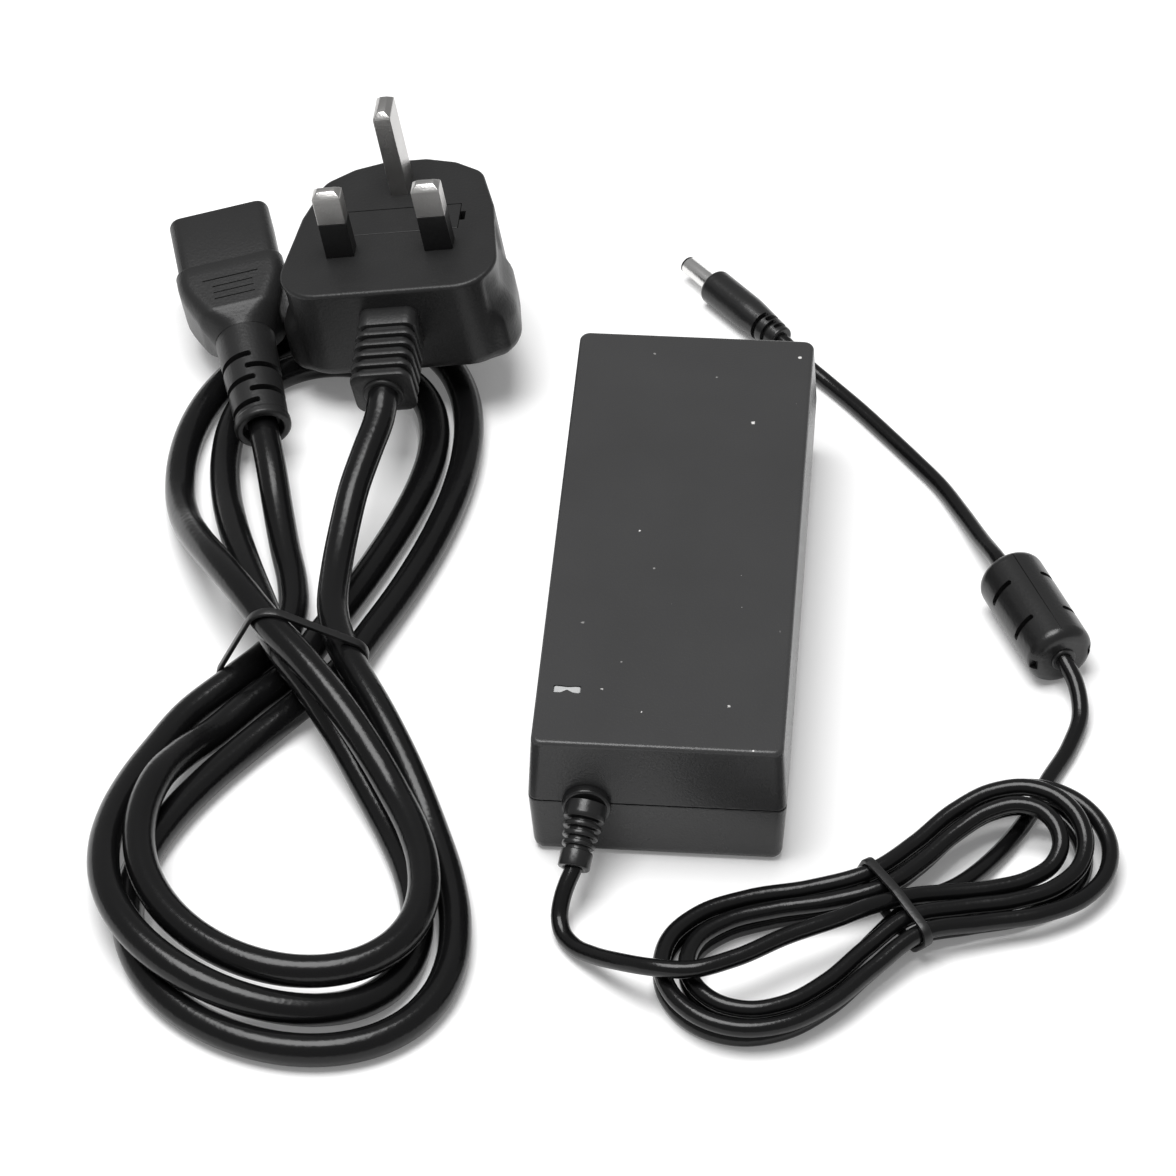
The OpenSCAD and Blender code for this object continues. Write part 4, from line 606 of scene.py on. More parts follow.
def makeWindow(w):
    top, inside, play = brick["height"] - w["sunk"], brick["height"] - brick["wall"], -w["play"]
    levels = [(-2 * w["edge"], top), (-w["edge"], top - w["crown"]), (play, top - w["edge"]), (play, inside),
              (w["lip"], inside), (w["lip"], inside - w["lipDepth"]), (play, inside - w["lipDepth"]),
              (play, inside - w["pipe"])]
    piece = makePiece("statusWindow", loft([windowRing(spread, z) for spread, z in levels]))
    return settle(piece, "brick", ["light_window"], "lightPipe")


# strain relief of the output lead, drooping out of its flange; ribDia is the first and the last rib
boot = {"at": (-14.2, -endY, brick["split"]), "yaw": -9, "droop": 29, "flangeDia": 10, "flangeDepth": 1.8,
        "flangeEdge": 0.5, "neckDia": 7, "ribDia": (8.4, 6.8), "coreDia": 5.4, "endDia": 6.6,
        "endEdge": 0.35, "mouthDia": 4.6, "mouthEdge": 0.2, "mouthDepth": 0.8, "length": 12.6,
        "endLength": 3.6, "root": 1.0, "coneLength": 2.4, "coneSwell": (0.1, 0.9, 0.4), "ribPitch": 1.9,
        "ribWidth": 1.0, "ribs": 3, "ribEdge": 0.3, "grooveEase": 0.1, "innerDepth": 2, "innerAt": 3.25}
bootYaw, bootDroop = math.radians(boot["yaw"]), math.radians(boot["droop"])
bootAim = Vector((math.sin(bootYaw) * math.cos(bootDroop), -math.cos(bootYaw) * math.cos(bootDroop),
                  -math.sin(bootDroop)))
bootRoot = Vector(boot["at"]) - Vector((0, boot["flangeDepth"], 0))
bootTip = bootRoot + bootAim * boot["length"]


def bootSeat(b):                 # two flanges with the wall between them
    r, neck, depth, inner = b["flangeDia"] / 2, b["neckDia"] / 2, b["flangeDepth"], b["innerAt"]
    rim = filletPath([(neck - b["flangeEdge"], -depth, 0), (r, -depth, b["flangeEdge"]), (r, 0, 0)], steps=3)
    back = inner + b["innerDepth"]
    return lathe([(0, -depth), *rim, (neck, 0), (neck, inner), (r, inner), (r, back), (0, back)], 64)


def bootShaft(b):                # the ribs narrow towards the cord
    core, plain, mouth = (b[key] / 2 for key in ("coreDia", "endDia", "mouthDia"))
    first, last = (d / 2 for d in b["ribDia"])
    cone, length, edge, ease = (b[key] for key in ("coneLength", "length", "ribEdge", "grooveEase"))
    swell, swellAt, swellRound = b["coneSwell"]
    profile = [(0, -b["root"], 0), (first, -b["root"], 0), (first + swell, cone - swellAt, swellRound),
               (first, cone, edge), (core, cone + 1.5 * ease, ease)]
    for k in range(1, b["ribs"] + 1):
        end, rib = cone + k * b["ribPitch"], blended(first, last, k / b["ribs"])
        start = end - b["ribWidth"]
        profile += [(core, start - ease, ease), (rib, start, edge), (rib, end, edge),
                    (core, end + ease, ease)]
    start, floor = length - b["endLength"], length - b["mouthDepth"]
    profile += [(core, start - ease, ease), (plain, start, edge), (plain, length, b["endEdge"]),
                (mouth, length, b["mouthEdge"]), (leads["leadDia"] / 2, floor, 0), (0, floor, 0)]
    return lathe(filletPath(profile, steps=3), 64)


def endCutters(label):           # the socket's opening and the hole for the lead's neck
    low, high = (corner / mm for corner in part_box("inlet_socket"))
    rim, neck = brick["socketRim"], boot["neckDia"] / 2          # the socket's flange stands inside the wall
    inlet = boxShape((low.x + rim, endY + brick["inletCut"][0], low.z + rim),
                     (high.x - rim, endY + brick["inletCut"][1], high.z - rim))
    start, stop = brick["neckCut"]
    hole = lathe([(0, start), (neck, start), (neck, stop), (0, stop)], 48)
    return [makePiece(label + "Inlet", inlet),
            makePiece(label + "Hole", hole, aimed(boot["at"], (0, 1, 0)))]


upperShell = makePiece("upperShell", housingRings(upperProfile(brick)))
holeEnds = (brick["height"] + 1, brick["height"] - 2 * brick["wall"])
# the hole follows the same outline, so the housing's plastic fills the waist as painted shade
windowCutter = makePiece("windowCutter", loft([windowRing(window["hole"], z) for z in holeEnds]))
carve(upperShell, [*endCutters("upper"), windowCutter])
lowerShell = makePiece("lowerShell", housingRings(lowerProfile(brick)))
carve(lowerShell, [makePiece("posts", postShapes(brick))], "UNION")
carve(lowerShell, endCutters("lower"))
settle(upperShell, "brick", ["upper_housing"], "brickPlastic")
settle(lowerShell, "brick", ["lower_housing"], "brickPlastic")
makeWindow(window)
outputBoot = makePiece("outputBoot", bootSeat(boot), aimed(boot["at"], (0, 1, 0)))
carve(outputBoot, [makePiece("bootShaft", bootShaft(boot), aimed(bootRoot, bootAim))], "UNION")
settle(outputBoot, "brick", ["output_strain_relief"], "sleevePlastic")
settleSoftened("inlet_socket", 0.25, "brick", "hardPlastic")
for pins in ("inlet_line_pins", "inlet_earth_pin"):
    settleSoftened(pins, 0.15, "brick", "shadedNickel")
print("brick made")


def slotRow(name, where, arc, radii, width, start, count, step, material, steps=20):
    slot = moved(arcSlot(*radii, width, *sorted(arc), steps), standing((0, 0, start)))
    return rowOf(name, slot, where, count, (0, 0, step), materials[material])


# ferrite in its jacket
ferrite = {"middle": (75.4, 5.3, 7.25), "yaw": 25.6, "dia": 14.5, "length": 28, "endRound": 2.4, "bore": 5,
           "coreDia": 10.5, "wall": 2, "slotAt": 5.6, "slotWidth": 1.3, "slotDepth": 1.3, "slotArc": (28, 84),
           "seamWidth": 0.22, "seamDepth": 0.25, "notch": (1.5, 2.4, 1.6), "collarDia": 5.4, "collar": 0.5,
           "collarEdge": 0.3}
ferritePlace = standing(ferrite["middle"], (90, 0, ferrite["yaw"]))      # local z towards the hank, y up
ferriteAim = ferritePlace.to_3x3() @ Vector((0, 0, -1))


def makeFerrite(f):
    r, collar, bore = f["dia"] / 2, f["collarDia"] / 2, leads["leadDia"] / 2 + leads["snug"]
    half = f["length"] / 2
    end = half + f["collar"]
    outline = [(bore, -end, 0), (collar, -end, f["collarEdge"]), (collar, -half, 0),
               (r, -half, f["endRound"]), (r, half, f["endRound"]), (collar, half, 0),
               (collar, end, f["collarEdge"]), (bore, end, 0)]
    path = filletPath(outline, steps=6, support=0.15)
    piece = makePiece("ferriteJacket", lathe(path, 72, closed=True), ferritePlace)
    room, near, far = half - f["wall"], f["bore"] / 2, f["coreDia"] / 2
    cavity = lathe([(near, -room), (far, -room), (far, room), (near, room)], 72, closed=True)
    tools = [makePiece("coreRoom", cavity, ferritePlace)]
    w, h, d = f["notch"]
    for side in (-1, 1):
        arc = [90 - side * angle for angle in f["slotArc"]]
        tools.append(slotRow("ferriteSlots", ferritePlace, arc, (r - f["slotDepth"], r + 1), f["slotWidth"],
                             -f["slotAt"], 2, 2 * f["slotAt"], "cordPlastic"))
        notch = boxShape((side * r - w, -h / 2, half - d), (side * r + w, h / 2, half + 1))
        tools.append(makePiece("endNotch", notch, ferritePlace))
    w, d = f["seamWidth"] / 2, f["seamDepth"]
    tools.append(makePiece("topSeam", boxShape((-w, r - d, -half - 1), (w, r + 1, half + 1)), ferritePlace))
    carve(piece, tools)
    return settle(piece, "brick", ["ferrite_jacket"], "sleevePlastic")


ferriteJacket = makeFerrite(ferrite)


# barrel plug
jack = {"front": (0.4, 112.2, 4.1), "yaw": 42.4, "gripDia": 8.2, "gripLength": 24.5, "edge": 1.0,
        "tailDia": 6, "tailEdge": 0.5, "taperFrom": 13, "taperBend": 30, "slots": (18.5, 21.4),
        "slotWidth": 1.1, "slotDepth": 1.75, "slotArc": (-14, 165), "barrelDia": 4.0, "barrelLength": 9.5,
        "barrelWall": 0.35, "barrelEdge": 0.08, "rootDia": 5, "rootLength": 4, "tipRing": 0.55,
        "tipEdge": 0.3, "boreDia": 2.5, "boreEdge": 0.12}
jackPlace = standing(jack["front"], (-90, 0, jack["yaw"]))       # local z runs out of the barrel, y down
jackAim = jackPlace.to_3x3() @ Vector((0, 0, 1))
jackTail = Vector(jack["front"]) - jackAim * jack["gripLength"]


def makeGrip(j):
    r, root, bore = j["gripDia"] / 2, j["rootDia"] / 2, leads["leadDia"] / 2 + leads["snug"]
    tail, seat = -j["gripLength"], -j["rootLength"]
    outline = [(bore, tail, 0), (j["tailDia"] / 2, tail, j["tailEdge"]), (r, -j["taperFrom"], j["taperBend"]),
               (r, 0, j["edge"]), (root, 0, 0), (root, seat, 0), (bore, seat, 0)]
    path = filletPath(outline, steps=6, support=0.15)
    piece = makePiece("barrelGrip", lathe(path, 64, closed=True), jackPlace)
    first, second = j["slots"]
    tools = []
    for side in (-1, 1):         # the two sides' slots alternate
        arc = [-90 + side * angle for angle in j["slotArc"]]
        tools.append(slotRow("tailSlots", jackPlace, arc, (r - j["slotDepth"], r + 1), j["slotWidth"],
                             -first - (second - first) * (side + 1) / 4, 2, first - second, "cordPlastic"))
    carve(piece, tools)
    return settle(piece, "brick", ["barrel_plug_grip"], "sleevePlastic")


def barrelPart(name, outline, node, material):
    piece = makePiece(name, lathe(filletPath(outline, steps=3), 64, closed=True), jackPlace)
    return settle(piece, "brick", [node], material)


def makeBarrel(j):
    root, outer, bore, tip = j["rootDia"] / 2, j["barrelDia"] / 2, j["boreDia"] / 2, j["barrelLength"]
    inner, metalEnd, back = outer - j["barrelWall"], tip - j["tipRing"], -j["rootLength"]
    metal = [(inner, back, 0), (root, back, 0), (root, 0, 0), (outer, 0, 0),
             (outer, metalEnd, j["barrelEdge"]), (inner, metalEnd, 0)]
    lining = [(bore, back, 0), (inner, back, 0), (inner, metalEnd, 0), (outer, metalEnd, 0),
              (outer, tip, j["tipEdge"]), (bore, tip, j["boreEdge"])]
    # the sleeve takes the lighter nickel copy, its extra lightness a painted reflection
    return (barrelPart("barrelSleeve", metal, "barrel_plug_sleeve", "litNickel"),
            barrelPart("barrelInsulator", lining, "barrel_plug_insulator", "hardPlastic"))


barrelGrip, (barrelSleeve, barrelInsulator) = makeGrip(jack), makeBarrel(jack)
print("output lead's fittings made")


# mains plug: bends are the centres of the outline's arcs, in from the widest side and from the back
plug = {"at": (-69.1, 82.8, 36), "turn": (-0.3, -8.9, -0.35), "depth": 24, "halfWidth": 24.5, "front": 15,
        "back": 31.4, "cornerRadius": 9.5, "bendRadius": 5,
        "bends": [(7.5, 19.4), (10.6, 9.4), (14.9, 6.6), (20.5, 5)], "faceEdge": 0.9, "baseEdge": 3,
        "ringPitch": 1.6, "ringCount": 11, "flare": 1.8, "flareReach": (-12.9, 9), "flareEase": 1.9,
        "flareDepth": (7.5, 15), "flarePeak": (1.2, -3, 30), "sideFacing": (0.5, 4), "waist": 0.7,
        "waistDepth": 3, "carrier": (32, -7, 18, 14), "carrierNeck": (16, -5, 28.4)}
plugPlace = standing(plug["at"], plug["turn"])                   # local z out of the face


def plugOutline(p, turns=240, spacing=0.65):     # (point, outward direction) round the plug's face
    width, back, corner = p["halfWidth"], p["back"], p["cornerRadius"]
    bends = [(width - corner, corner - p["front"], corner),
             *[(width - x, back - y, p["bendRadius"]) for x, y in p["bends"]]]
    circles = [(Vector((s * x, y)), r) for s in (-1, 1) for x, y, r in bends]
    rim = []
    for k in range(turns):
        angle = math.tau * (k + 0.5) / turns
        out = Vector((math.cos(angle), math.sin(angle)))
        centre, r = max(circles, key=lambda c: c[0].dot(out) + c[1])
        rim.append((centre + out * r, out))
    stations = []
    for (a, out), (b, _) in zip(rim, rim[1:] + rim[:1]):
        count = max(1, round((b - a).length / spacing))
        stations += [(a.lerp(b, j / count), out) for j in range(count)]
    return stations


def plugRing(p, outline, inset, depth):          # the sides swell into a finger grip lower down
    low, high = p["flareReach"]
    top, bottom = p["flareDepth"]
    peak, middle, reach = p["flarePeak"]
    facing, sharpness = p["sideFacing"]
    rise = smoothStep((depth - top) / (bottom - top))
    pinch = p["waist"] * smoothStep(depth / p["waistDepth"]) * (1 - rise)
    ring = []
    for point, out in outline:
        q, sign = point - out * inset, math.copysign(1, point.x)
        side = smoothStep((q.y - low) / p["flareEase"]) * smoothStep((high - q.y) / p["flareEase"])
        side *= clip((abs(out.x) - facing) * sharpness)
        wide = q.x + sign * p["flare"] * clip(peak - abs(q.y - middle) / reach)
        ring.append((blended(q.x - sign * pinch * side, wide, side * rise), q.y, -depth))
    return ring


def makePlugBody(p):
    outline, depth = plugOutline(p), p["depth"]
    profile = [(4, 0, 0), (0, 0, p["faceEdge"]),                 # (inset, depth, radius)
               *[(0, p["ringPitch"] * k, 0) for k in range(1, p["ringCount"] + 1)],
               (0, depth, p["baseEdge"]), (6, depth, 0)]
    rings = [plugRing(p, outline, inset, z) for inset, z in filletPath(profile, steps=5, support=0.2)]
    piece = makePiece("plugBody", loft(rings), plugPlace, 40)
    wide, front, shoulder, deep = p["carrier"]
    neck, neckFront, back = p["carrierNeck"]
    tools = [boxShape((-wide / 2, front, -deep), (wide / 2, shoulder, 5)),
             boxShape((-neck / 2, neckFront, -deep), (neck / 2, back, 5))]
    carve(piece, [makePiece("carrierRoom", tool, plugPlace) for tool in tools], sharpFrom=40)
    return settle(piece, "mains_lead", ["mains_plug_body"], "plugPlastic")


# the plug's ribbed cord guard: each section is (width, height, corner radius), each span (from, to, edge)
guard = {"length": 19.4, "drop": 7, "height": -10.2, "core": (11.4, 9.8, 2.2), "coreSpan": (-19.1, 1.5, 0.2),
         "rib": (13.6, 12, 2.6), "ribEdge": 0.4, "ribs": 5, "ribWidth": 1.5, "pitch": 3,
         "root": (13.2, 11.6, 2.4), "rootSpan": (-4.2, 1.2, 0.6), "collarDia": 8.8, "collar": 0.7,
         "collarEdge": 0.5}
guardPlace = plugPlace @ standing((0, -plug["front"], guard["height"]), (guard["drop"], 0, 0))
guardAim = guardPlace.to_3x3() @ Vector((0, -1, 0))
guardTip = guardPlace @ Vector((0, -guard["length"], 0))


def upright(loop, y):            # a flat loop stood up across y
    return [(q.x, y, q.y) for q in loop]


def slab(size, start, stop, edge, share=0.3):    # a rounded block along y with eased rims
    levels = [(edge, start), (edge * share, start + edge * share), (0, start + edge), (0, stop - edge),
              (edge * share, stop - edge * share), (edge, stop)]
    width, height, radius = size
    return loft([upright(roundedLoop(width - 2 * cut, height - 2 * cut, radius - cut, 5, 0.3), y)
                 for cut, y in levels])


def makeGuard(g):
    tip, r, inside = -g["length"], g["collarDia"] / 2, 0.5
    piece = makePiece("plugGuard", slab(g["core"], *g["coreSpan"]), guardPlace)
    ribs = rowOf("guardRibs", slab(g["rib"], tip, g["ribWidth"] + tip, g["ribEdge"]), guardPlace,
                 g["ribs"], (0, g["pitch"], 0), materials["plugPlastic"])
    root = makePiece("guardRoot", slab(g["root"], *g["rootSpan"]), guardPlace)
    rim = filletPath([(0, inside, 0), (r, inside, 0), (r, -g["collar"], g["collarEdge"]),
                      (0, -g["collar"], 0)], steps=4)
    collar = makePiece("guardCollar", lathe(rim, 48), guardPlace @ standing((0, tip, 0), (-90, 0, 0)))
    carve(piece, [ribs, root, collar], "UNION")
    return settle(piece, "mains_lead", ["plug_cord_guard"], "plugPlastic")


plugBody, plugGuard = makePlugBody(plug), makeGuard(guard)
livePin, neutralPin, earthPin = (settleSoftened(pin, 0.22, "mains_lead", "shadedNickel")
                                 for pin in ("live_pin", "neutral_pin", "earth_pin"))
pinSleeves = settleSoftened("pin_sleeves", 0.12, "mains_lead", "hardPlastic")
fuseCarrier = settleSoftened("fuse_carrier", 0.12, "fuse_drawer", "plugPlastic")
print("mains plug made")


# inlet connector: gripRings are (width, height, corner radius, place along the connector), gripRim is
# (in from the sides, corner radius, back from the end) and noseTip (in from the sides, back from the end)
hook = {"at": (-94.5, 49.4, 10.7), "turn": (8.2, -8, 14.6), "guardLength": 26, "guardDia": 12,
        "rootDia": 13.4, "rootRound": 6.39, "collarDia": 12.6, "collar": 2.2, "mouthDia": 9.2,
        "mouthDepth": 2.6, "slotWidth": 1.5, "slotDepth": 2.1, "slotFirst": 3.95, "slotPitch": 6.6,
        "slots": (3, 2), "slotArc": (-9, 168), "height": 17, "gripWidth": 24.4, "gripEnd": 44,
        "gripRim": [(0, 3.3, 0.7), (0.2, 3.1, 0.2), (0.7, 2.8, 0)],
        "gripRings": [(14.4, 14.2, 6.1, 27), (15.8, 15.2, 5.4, 28), (17.4, 16.2, 4.9, 29.2),
                      (17.9, 16.5, 4.7, 29.6), (18.4, 17, 4.5, 30.2), (18.8, 17, 4.4, 30.7),
                      (20.6, 17, 4.1, 33), (22.5, 17, 3.7, 35.6), (23.9, 17, 3.4, 38.2),
                      (24.4, 17, 3.3, 40.5)],
        "line": (9.2, 0.36, 0.22), "lineFirst": (0.2, 32.9), "linePitch": 1.8, "lines": 3,
        "longLine": (12.6, 0.4, 0.25), "longLineAt": (0, 38.6), "noseWidth": 22.8, "noseHeight": 15.8,
        "noseEnd": 60, "noseRound": 2.8, "noseTip": [(0, 1.2), (0.25, 0.5), (0.7, 0.1), (1.2, 0)],
        "chamfer": 4.4, "chamferShare": 0.6, "wall": 1.5, "insertFrom": 46, "insertRound": 0.05}
hookPlace = standing(hook["at"], hook["turn"])                   # local y towards the nose
hookAim = hookPlace.to_3x3() @ Vector((0, -1, 0))


def noseSection(h, cut, radius, y):              # lower corners cut off, upper ones round
    width, height = h["noseWidth"] / 2 - cut, h["noseHeight"] / 2 - cut
    chamfer = h["chamfer"] - cut * h["chamferShare"]
    corners = [(width, height, radius), (-width, height, radius), (-width, chamfer - height, radius),
               (chamfer - width, -height, radius), (width - chamfer, -height, radius),
               (width, chamfer - height, radius)]
    return upright(filletPath(corners, True, 5, 0.2), y)


def gripLine(h, size):           # a shallow line across the grip's top
    (length, thick, deep), top = size, h["height"] / 2
    return boxShape((-length / 2, -thick / 2, top - deep), (length / 2, thick / 2, top + 1))


def makeConnector(h):
    root, end = h["rootDia"], h["gripEnd"]
    rings = [(root, root, h["rootRound"], h["guardLength"]), *h["gripRings"]]
    for cut, r, back in h["gripRim"]:
        rings.append((h["gripWidth"] - 2 * cut, h["height"] - 2 * cut, r, end - back))
    grip = loft([upright(roundedLoop(width, high, r, 8, 0.3), y) for width, high, r, y in rings])
    piece = makePiece("connectorBody", grip, hookPlace, 25)
    stations = [(0, end - 2), *[(cut, h["noseEnd"] - back) for cut, back in h["noseTip"]]]
    nose = loft([noseSection(h, cut, h["noseRound"] - cut, y) for cut, y in stations])
    carve(piece, [makePiece("noseShell", nose, hookPlace, 25)], "UNION", 25)
    room = loft([noseSection(h, h["wall"], h["insertRound"], y) for y in (h["insertFrom"], h["noseEnd"] + 1)])
    line = moved(gripLine(h, h["line"]), standing((*h["lineFirst"], 0)))
    longLine = moved(gripLine(h, h["longLine"]), standing((*h["longLineAt"], 0)))
    carve(piece, [makePiece("insertRoom", room, hookPlace), makePiece("gripLineLong", longLine, hookPlace),
                  rowOf("gripLines", line, hookPlace, h["lines"], (0, h["linePitch"], 0),
                        materials["plugPlastic"])], sharpFrom=25)
    return settle(piece, "mains_lead", ["connector_body"], "plugPlastic")


def makeHookGuard(h):
    r, far, collar, mouth = (h[key] / 2 for key in ("guardDia", "rootDia", "collarDia", "mouthDia"))
    deep, length = h["mouthDepth"], h["guardLength"]
    outline = [(0, deep, 0), (mouth - 0.5, deep, 0), (mouth, 0, 0.3), (collar, 0, 0.7),
               (collar, h["collar"] - 0.4, 0.3), (r, h["collar"] + 0.2, 0.2), (far, length, 0),
               (0, length, 0)]
    where = hookPlace @ turned((-90, 0, 0))      # the lathe's z along the guard and its -y upward
    piece = makePiece("connectorGuard", lathe(filletPath(outline, steps=4, support=0.1), 72), where)
    tools = []
    for side, count in zip((-1, 1), h["slots"]):
        arc = [-90 + side * angle for angle in h["slotArc"]]
        tools.append(slotRow("guardSlots", where, arc, (r - h["slotDepth"], far + 2), h["slotWidth"],
                             h["slotFirst"] + (side + 1) / 4 * h["slotPitch"], count, h["slotPitch"],
                             "plugPlastic", 28))
    carve(piece, tools)
    return settle(piece, "mains_lead", ["connector_cord_guard"], "plugPlastic")


connectorBody, connectorGuard = makeConnector(hook), makeHookGuard(hook)
connectorInsert = settleSoftened("connector_insert", 0.2, "mains_lead", "hardPlastic")
print("inlet connector made")


# the cords: their loose stretches as chosen points, their wound ones as rules
routes = {
    "first": [(-16.9, -78.6, 8.1), (-17.9, -81.4, 5.8), (-18.2, -84.2, 3.6), (-17.4, -87.2, 2.4),
              (-14.9, -90.8, 2.5), (-10.5, -94.8, 4.4), (-5, -98.8, 7.3), (1.8, -102.1, 9.8),
              (9, -103, 10.6), (18, -99.3, 10.6), (28, -92.6, 10.6), (38, -86.8, 10.2), (44.2, -82, 9)],
    "second": [(53.5, -75.5, 3.6), (61, -70, 3), (69, -60, 2.2), (75, -49, 1.9), (79, -38, 1.8),
               (83.4, -27.5, 1.8), (85.4, -19, 2.9), (84, -12, 5.6)],
    "last": [(67.4, 21.9, 7), (63.6, 30.5, 4.8), (58.9, 41.2, 2.8), (54, 50.5, 1.9), (48.6, 57.8, 1.8),
             (42.3, 65.8, 1.8), (35.5, 74.2, 1.8), (28.2, 82.4, 1.9), (22, 88.3, 3)],
    "plug": [(-67.7, 42.5, 22.1), (-69.5, 34, 20), (-71.4, 25, 17.5), (-72.6, 15, 14.5),
             (-73.2, 4, 12.2), (-72.8, -6, 11.7), (-70.2, -16, 11.9), (-66.5, -24, 12)],
    "hook": [(-92, 40.5, 9.2), (-89.3, 30, 6.2), (-86.4, 19, 4.2), (-83.6, 9, 3.5), (-82.4, 0, 3.5),
             (-83.4, -8, 3.9), (-86.4, -14.5, 4.4), (-91.5, -21.5, 4.6)]}

# each lobe: side, reach, half width, lean, skew, roundness, and its layers going in, far out and back
eight = {"lobes": [(1, 95.5, 27.5, 13.5, -0.03, -0.07, (0, 0, 1)),
                   (-1, 100.5, 22, 7.5, -0.12, 0.06, (1, 0, 0)),
                   (1, 89, 30.5, 10, 0.05, -0.17, (0, 1, 2)),
                   (-1, 111.5, 26, -2.5, 0.32, -0.12, (2, 0, 0)),
                   (1, 102, 33, -9.5, 0.26, -0.07, (0, 0, 1))],
         "slots": (-13.4, -2.2, -0.4, -4.5, 9.6, 10.4), "waist": (-80, -19.5), "tilt": 0.04, "layer": 7.25,
         "climbFrom": 11, "climbTo": {1: 44.5, -1: 70}, "humpAt": 0.33, "humpHalf": 0.33,
         "span": (0.05, 4.95), "rings": 24, "lift": 1.3, "liftFrom": 4, "liftRun": 16}
hank = {"middle": (48.5, -78), "yaw": 34, "turns": 4, "reach": (39.4, -2.4, 5.1), "swell": (11.4, -1.6, 4),
        "waist": (1.2, 4.75), "bow": -0.02, "round": 0.27, "turnBack": 2.2, "climb": 0.5, "layer": 4.25,
        "humpAt": 0.325, "humpHalf": 0.195, "span": (0.02, 3.97), "rings": 24, "lift": 1.2, "liftFrom": 4,
        "liftRun": 12}


def eightPoint(u):               # the mains cord's figure of eight, one lobe for each whole step of u
    e = eight
    k = min(int(u), len(e["lobes"]) - 1)
    s = u - k
    way, reach, width, lean, skew, roundness, layers = e["lobes"][k]
    out = reach * math.sin(math.pi * s) * (1 + roundness * math.cos(math.pi * s) ** 2)
    side = -width * math.sin(math.tau * s)
    slot = blended(e["slots"][k], e["slots"][k + 1], smoothStep(s))
    edge = layers[0] if s < 0.5 else layers[2]
    climb = 1 - easeInOut((out - e["climbFrom"]) / (e["climbTo"][way] - e["climbFrom"]))
    hump = 1 - easeInOut(abs(s - e["humpAt"]) / e["humpHalf"]) if k == 0 else 0
    lift = e["lift"] * (1 - easeInOut((out - e["liftFrom"]) / e["liftRun"]))
    height = e["layer"] * (layers[1] + (edge - layers[1]) * climb + hump)
    return Vector((e["waist"][0] + slot + side + lean * math.sin(math.pi * s) ** 2 + way * e["tilt"] * out,
                   e["waist"][1] - way * (out + skew * side), leads["cordDia"] / 2 + height + lift))


def hankPoint(t):                # the output lead's oblong hank, one turn for each whole step of t
    h = hank
    a = math.tau * t - math.pi / 2
    u, v = math.sin(a), math.cos(a)
    turn = t if t < h["turnBack"] else 2 * h["turnBack"] - t
    along = (h["reach"][0] + h["reach"][1] * v + h["reach"][2] * turn) * v
    swell = h["swell"][0] + h["swell"][1] * v + h["swell"][2] * turn
    across = ((h["waist"][0] + h["waist"][1] * turn) * u ** 3 + h["bow"] * along * abs(v)
              + 2 * swell * u * (math.hypot(v, h["round"]) - h["round"]))
    climb = 1 - easeInOut((t - h["turnBack"] + h["climb"] / 2) / h["climb"])
    hump = 1 - easeInOut(abs(t - math.floor(t) - h["humpAt"]) / h["humpHalf"])
    lift = h["lift"] * (1 - easeInOut((abs(along) - h["liftFrom"]) / h["liftRun"]))
    c, s = math.cos(math.radians(h["yaw"])), math.sin(math.radians(h["yaw"]))
    return Vector((h["middle"][0] + along * c - across * s, h["middle"][1] + along * s + across * c,
                   leads["leadDia"] / 2 + h["layer"] * (climb + hump) + lift))


def woundLoops(pointAt, facts, total, tail):     # tail rings are left out before the last point
    first, last = facts["span"]
    between = range(math.ceil(first * facts["rings"] + 0.5), total * facts["rings"] - tail + 1)
    return [pointAt(first), *[pointAt(i / facts["rings"]) for i in between], pointAt(last)]


def makeCord(name, points, diameter, sides, step):               # also gives its centre line and length
    even, length = smoothRoute(points, step)
    mesh = bpy.data.meshes.new(name)
    mesh.from_pydata([q * mm for q in even], [(i, i + 1) for i in range(len(even) - 1)], [])
    piece = addObject(name, mesh)
    grow(piece, sweepTree, {"Diameter": diameter * mm, "Sides": sides, "Material": materials["cordPlastic"]})
    return piece, [tuple(q * mm) for q in even[::2]], length * mm


def outputRoute():
    middle, half = Vector(ferrite["middle"]), ferrite["length"] / 2
    through = [middle + ferriteAim * half * k / 2 for k in (-2, -1, 0, 1, 2)]
    loops = woundLoops(hankPoint, hank, hank["turns"], 1)
    return [bootTip - bootAim * leads["runIn"], bootTip, *routes["first"], *loops, *routes["second"],
            *through, *routes["last"], jackTail, jackTail + jackAim * leads["runIn"]]


def mainsRoute():
    loops = woundLoops(eightPoint, eight, len(eight["lobes"]), 2)
    hookRoot = Vector(hook["at"])
    return [guardTip - guardAim * leads["runIn"], guardTip, *routes["plug"], *reversed(loops),
            *reversed(routes["hook"]), hookRoot, hookRoot - hookAim * leads["runIn"]]


outputLead, leadPath, leadLength = makeCord("outputLead", outputRoute(), leads["leadDia"], 20, 1.1)
mainsCord, cordPath, cordLength = makeCord("mainsCord", mainsRoute(), leads["cordDia"], 28, 1.7)
settle(outputLead, "brick", ["output_lead_first_run", "output_lead_hank",
                                            "output_lead_second_run", "output_lead_last_run"])
settle(mainsCord, "mains_lead", ["mains_lead_plug_run", "mains_lead_hank",
                                                "mains_lead_connector_run"])
print("cords:", round(leadLength, 3), "m and", round(cordLength, 3), "m")


# ties: bands drawn tight round the wound cords
ties = {"width": 2.0, "thick": 0.95, "edge": 0.3, "slack": 0.12, "turns": 90, "cordAt": (-80, -20.5, 0),
        "reach": 22}


def crossings(path, where):      # where a cord passes through the band's plane, and how slantwise
    local = [where.inverted() @ (Vector(q) / mm) for q in path]
    hits = []
    for a, b in zip(local, local[1:]):
        if a.y * b.y < 0 and abs(a.x) < ties["reach"]:
            spot, way = a.lerp(b, a.y / (a.y - b.y)), (b - a).normalized()
            hits.append((Vector((spot.x, spot.z)), Vector((way.x, way.z)), abs(way.y)))
    return hits


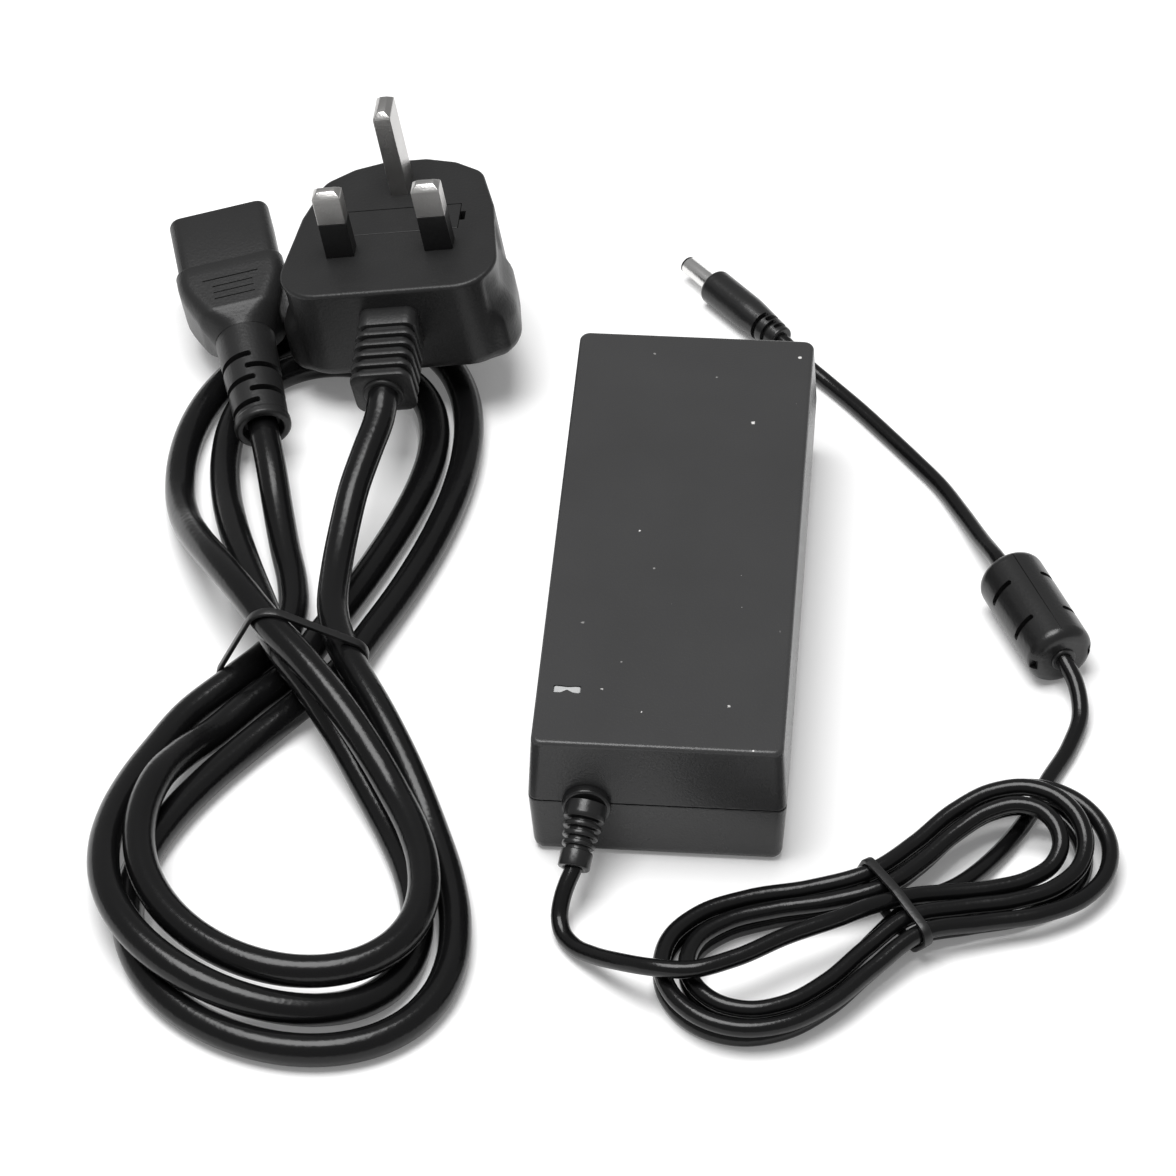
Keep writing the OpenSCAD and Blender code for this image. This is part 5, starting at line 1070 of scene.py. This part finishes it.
def bandShape(hits, radius):     # each cut cord is an ellipse, longer the way it leans
    section = roundedLoop(ties["thick"], ties["width"], ties["edge"], 2)
    rings, tiny = [], 1e-9
    for k in range(ties["turns"]):
        angle = math.tau * k / ties["turns"]
        out = Vector((math.cos(angle), math.sin(angle)))
        best, reach = None, -math.inf
        for spot, lean, square in hits:
            longer = 1 / square ** 2 - 1
            pull = out + lean * (lean.dot(out) * longer / max(lean.length_squared, tiny))
            far = radius * math.sqrt(pull.dot(out))
            if spot.dot(out) + far > reach:
                best, reach = spot + pull * (radius ** 2 / far), spot.dot(out) + far
        rings.append([(best.x + out.x * far, y, best.y + out.y * far) for far, y in
                      ((ties["slack"] + ties["thick"] / 2 + p.x, p.y) for p in section)])
    return loft(rings, closed=True)


cordTiePlace = standing(ties["cordAt"])
leadTiePlace = standing((*hank["middle"], 0), (0, 0, hank["yaw"] + 90))
cordTie = makePiece("mainsCordTie", bandShape(crossings(cordPath, cordTiePlace), leads["cordDia"] / 2),
                    cordTiePlace)
leadTie = makePiece("outputLeadTie", bandShape(crossings(leadPath, leadTiePlace), leads["leadDia"] / 2),
                    leadTiePlace)
settle(cordTie, "mains_lead", ["mains_lead_tie"], "tieCoat")
settle(leadTie, "brick", ["output_lead_tie"], "tieCoat")
# studio
studio = {"floorSize": 9.0, "floorColour": (0.86, 0.86, 0.86), "floorGlow": 0.14, "worldLevel": 0.32,
          "boxSize": 0.9, "boxPower": 24.0, "boxAt": (-0.22, 0.0, 1.4)}


def seenRays(tree):              # rays that look at a surface rather than light it
    light = addNode(tree, "ShaderNodeLightPath")
    return calc(tree, "MAXIMUM", light.outputs["Is Camera Ray"],
                calc(tree, "MAXIMUM", light.outputs["Is Glossy Ray"], light.outputs["Is Transmission Ray"]))


def buildFloor(s):
    edge = s["floorSize"] / 2
    mesh = bpy.data.meshes.new("studioFloor")
    mesh.from_pydata([(-edge, -edge, 0), (edge, -edge, 0), (edge, edge, 0), (-edge, edge, 0)], [],
                     [(0, 1, 2, 3)])
    material = bpy.data.materials.new("paleFloor")
    material.use_nodes = True
    tree = material.node_tree
    tree.nodes.clear()
    paint = addNode(tree, "ShaderNodeBsdfDiffuse", {"Color": (*s["floorColour"], 1)})
    glow = addNode(tree, "ShaderNodeEmission",
                   links={"Strength": calc(tree, "MULTIPLY", seenRays(tree), s["floorGlow"])})
    both = addNode(tree, "ShaderNodeAddShader", links={0: paint.outputs[0], 1: glow.outputs[0]})
    addNode(tree, "ShaderNodeOutputMaterial", links={"Surface": both.outputs[0]})
    mesh.materials.append(material)
    addObject("studioFloor", mesh)


def buildWorld(s):               # white to the camera, dimmer to everything that it lights
    world = bpy.data.worlds.new("studioWorld")
    bpy.context.scene.world = world
    world.use_nodes = True
    tree = world.node_tree
    backdrop = tree.nodes["Background"]
    seen = addNode(tree, "ShaderNodeLightPath").outputs["Is Camera Ray"]
    level = calc(tree, "ADD", s["worldLevel"], calc(tree, "MULTIPLY", seen, 1.0 - s["worldLevel"]))
    backdrop.inputs["Color"].default_value = (1, 1, 1, 1)
    tree.links.new(level, backdrop.inputs["Strength"])


def addSoftbox(s):
    lamp = bpy.data.lights.new("overheadSoftbox", "AREA")
    lamp.shape, lamp.size, lamp.energy = "SQUARE", s["boxSize"], s["boxPower"]
    away = Vector(s["boxAt"])
    facing = away.to_track_quat("Z", "Y").to_matrix().to_4x4()
    addObject("overheadSoftbox", lamp).matrix_world = Matrix.Translation(away) @ facing


buildFloor(studio)
buildWorld(studio)
addSoftbox(studio)
bpy.context.scene.view_settings.view_transform = "Standard"

print("scene ready")
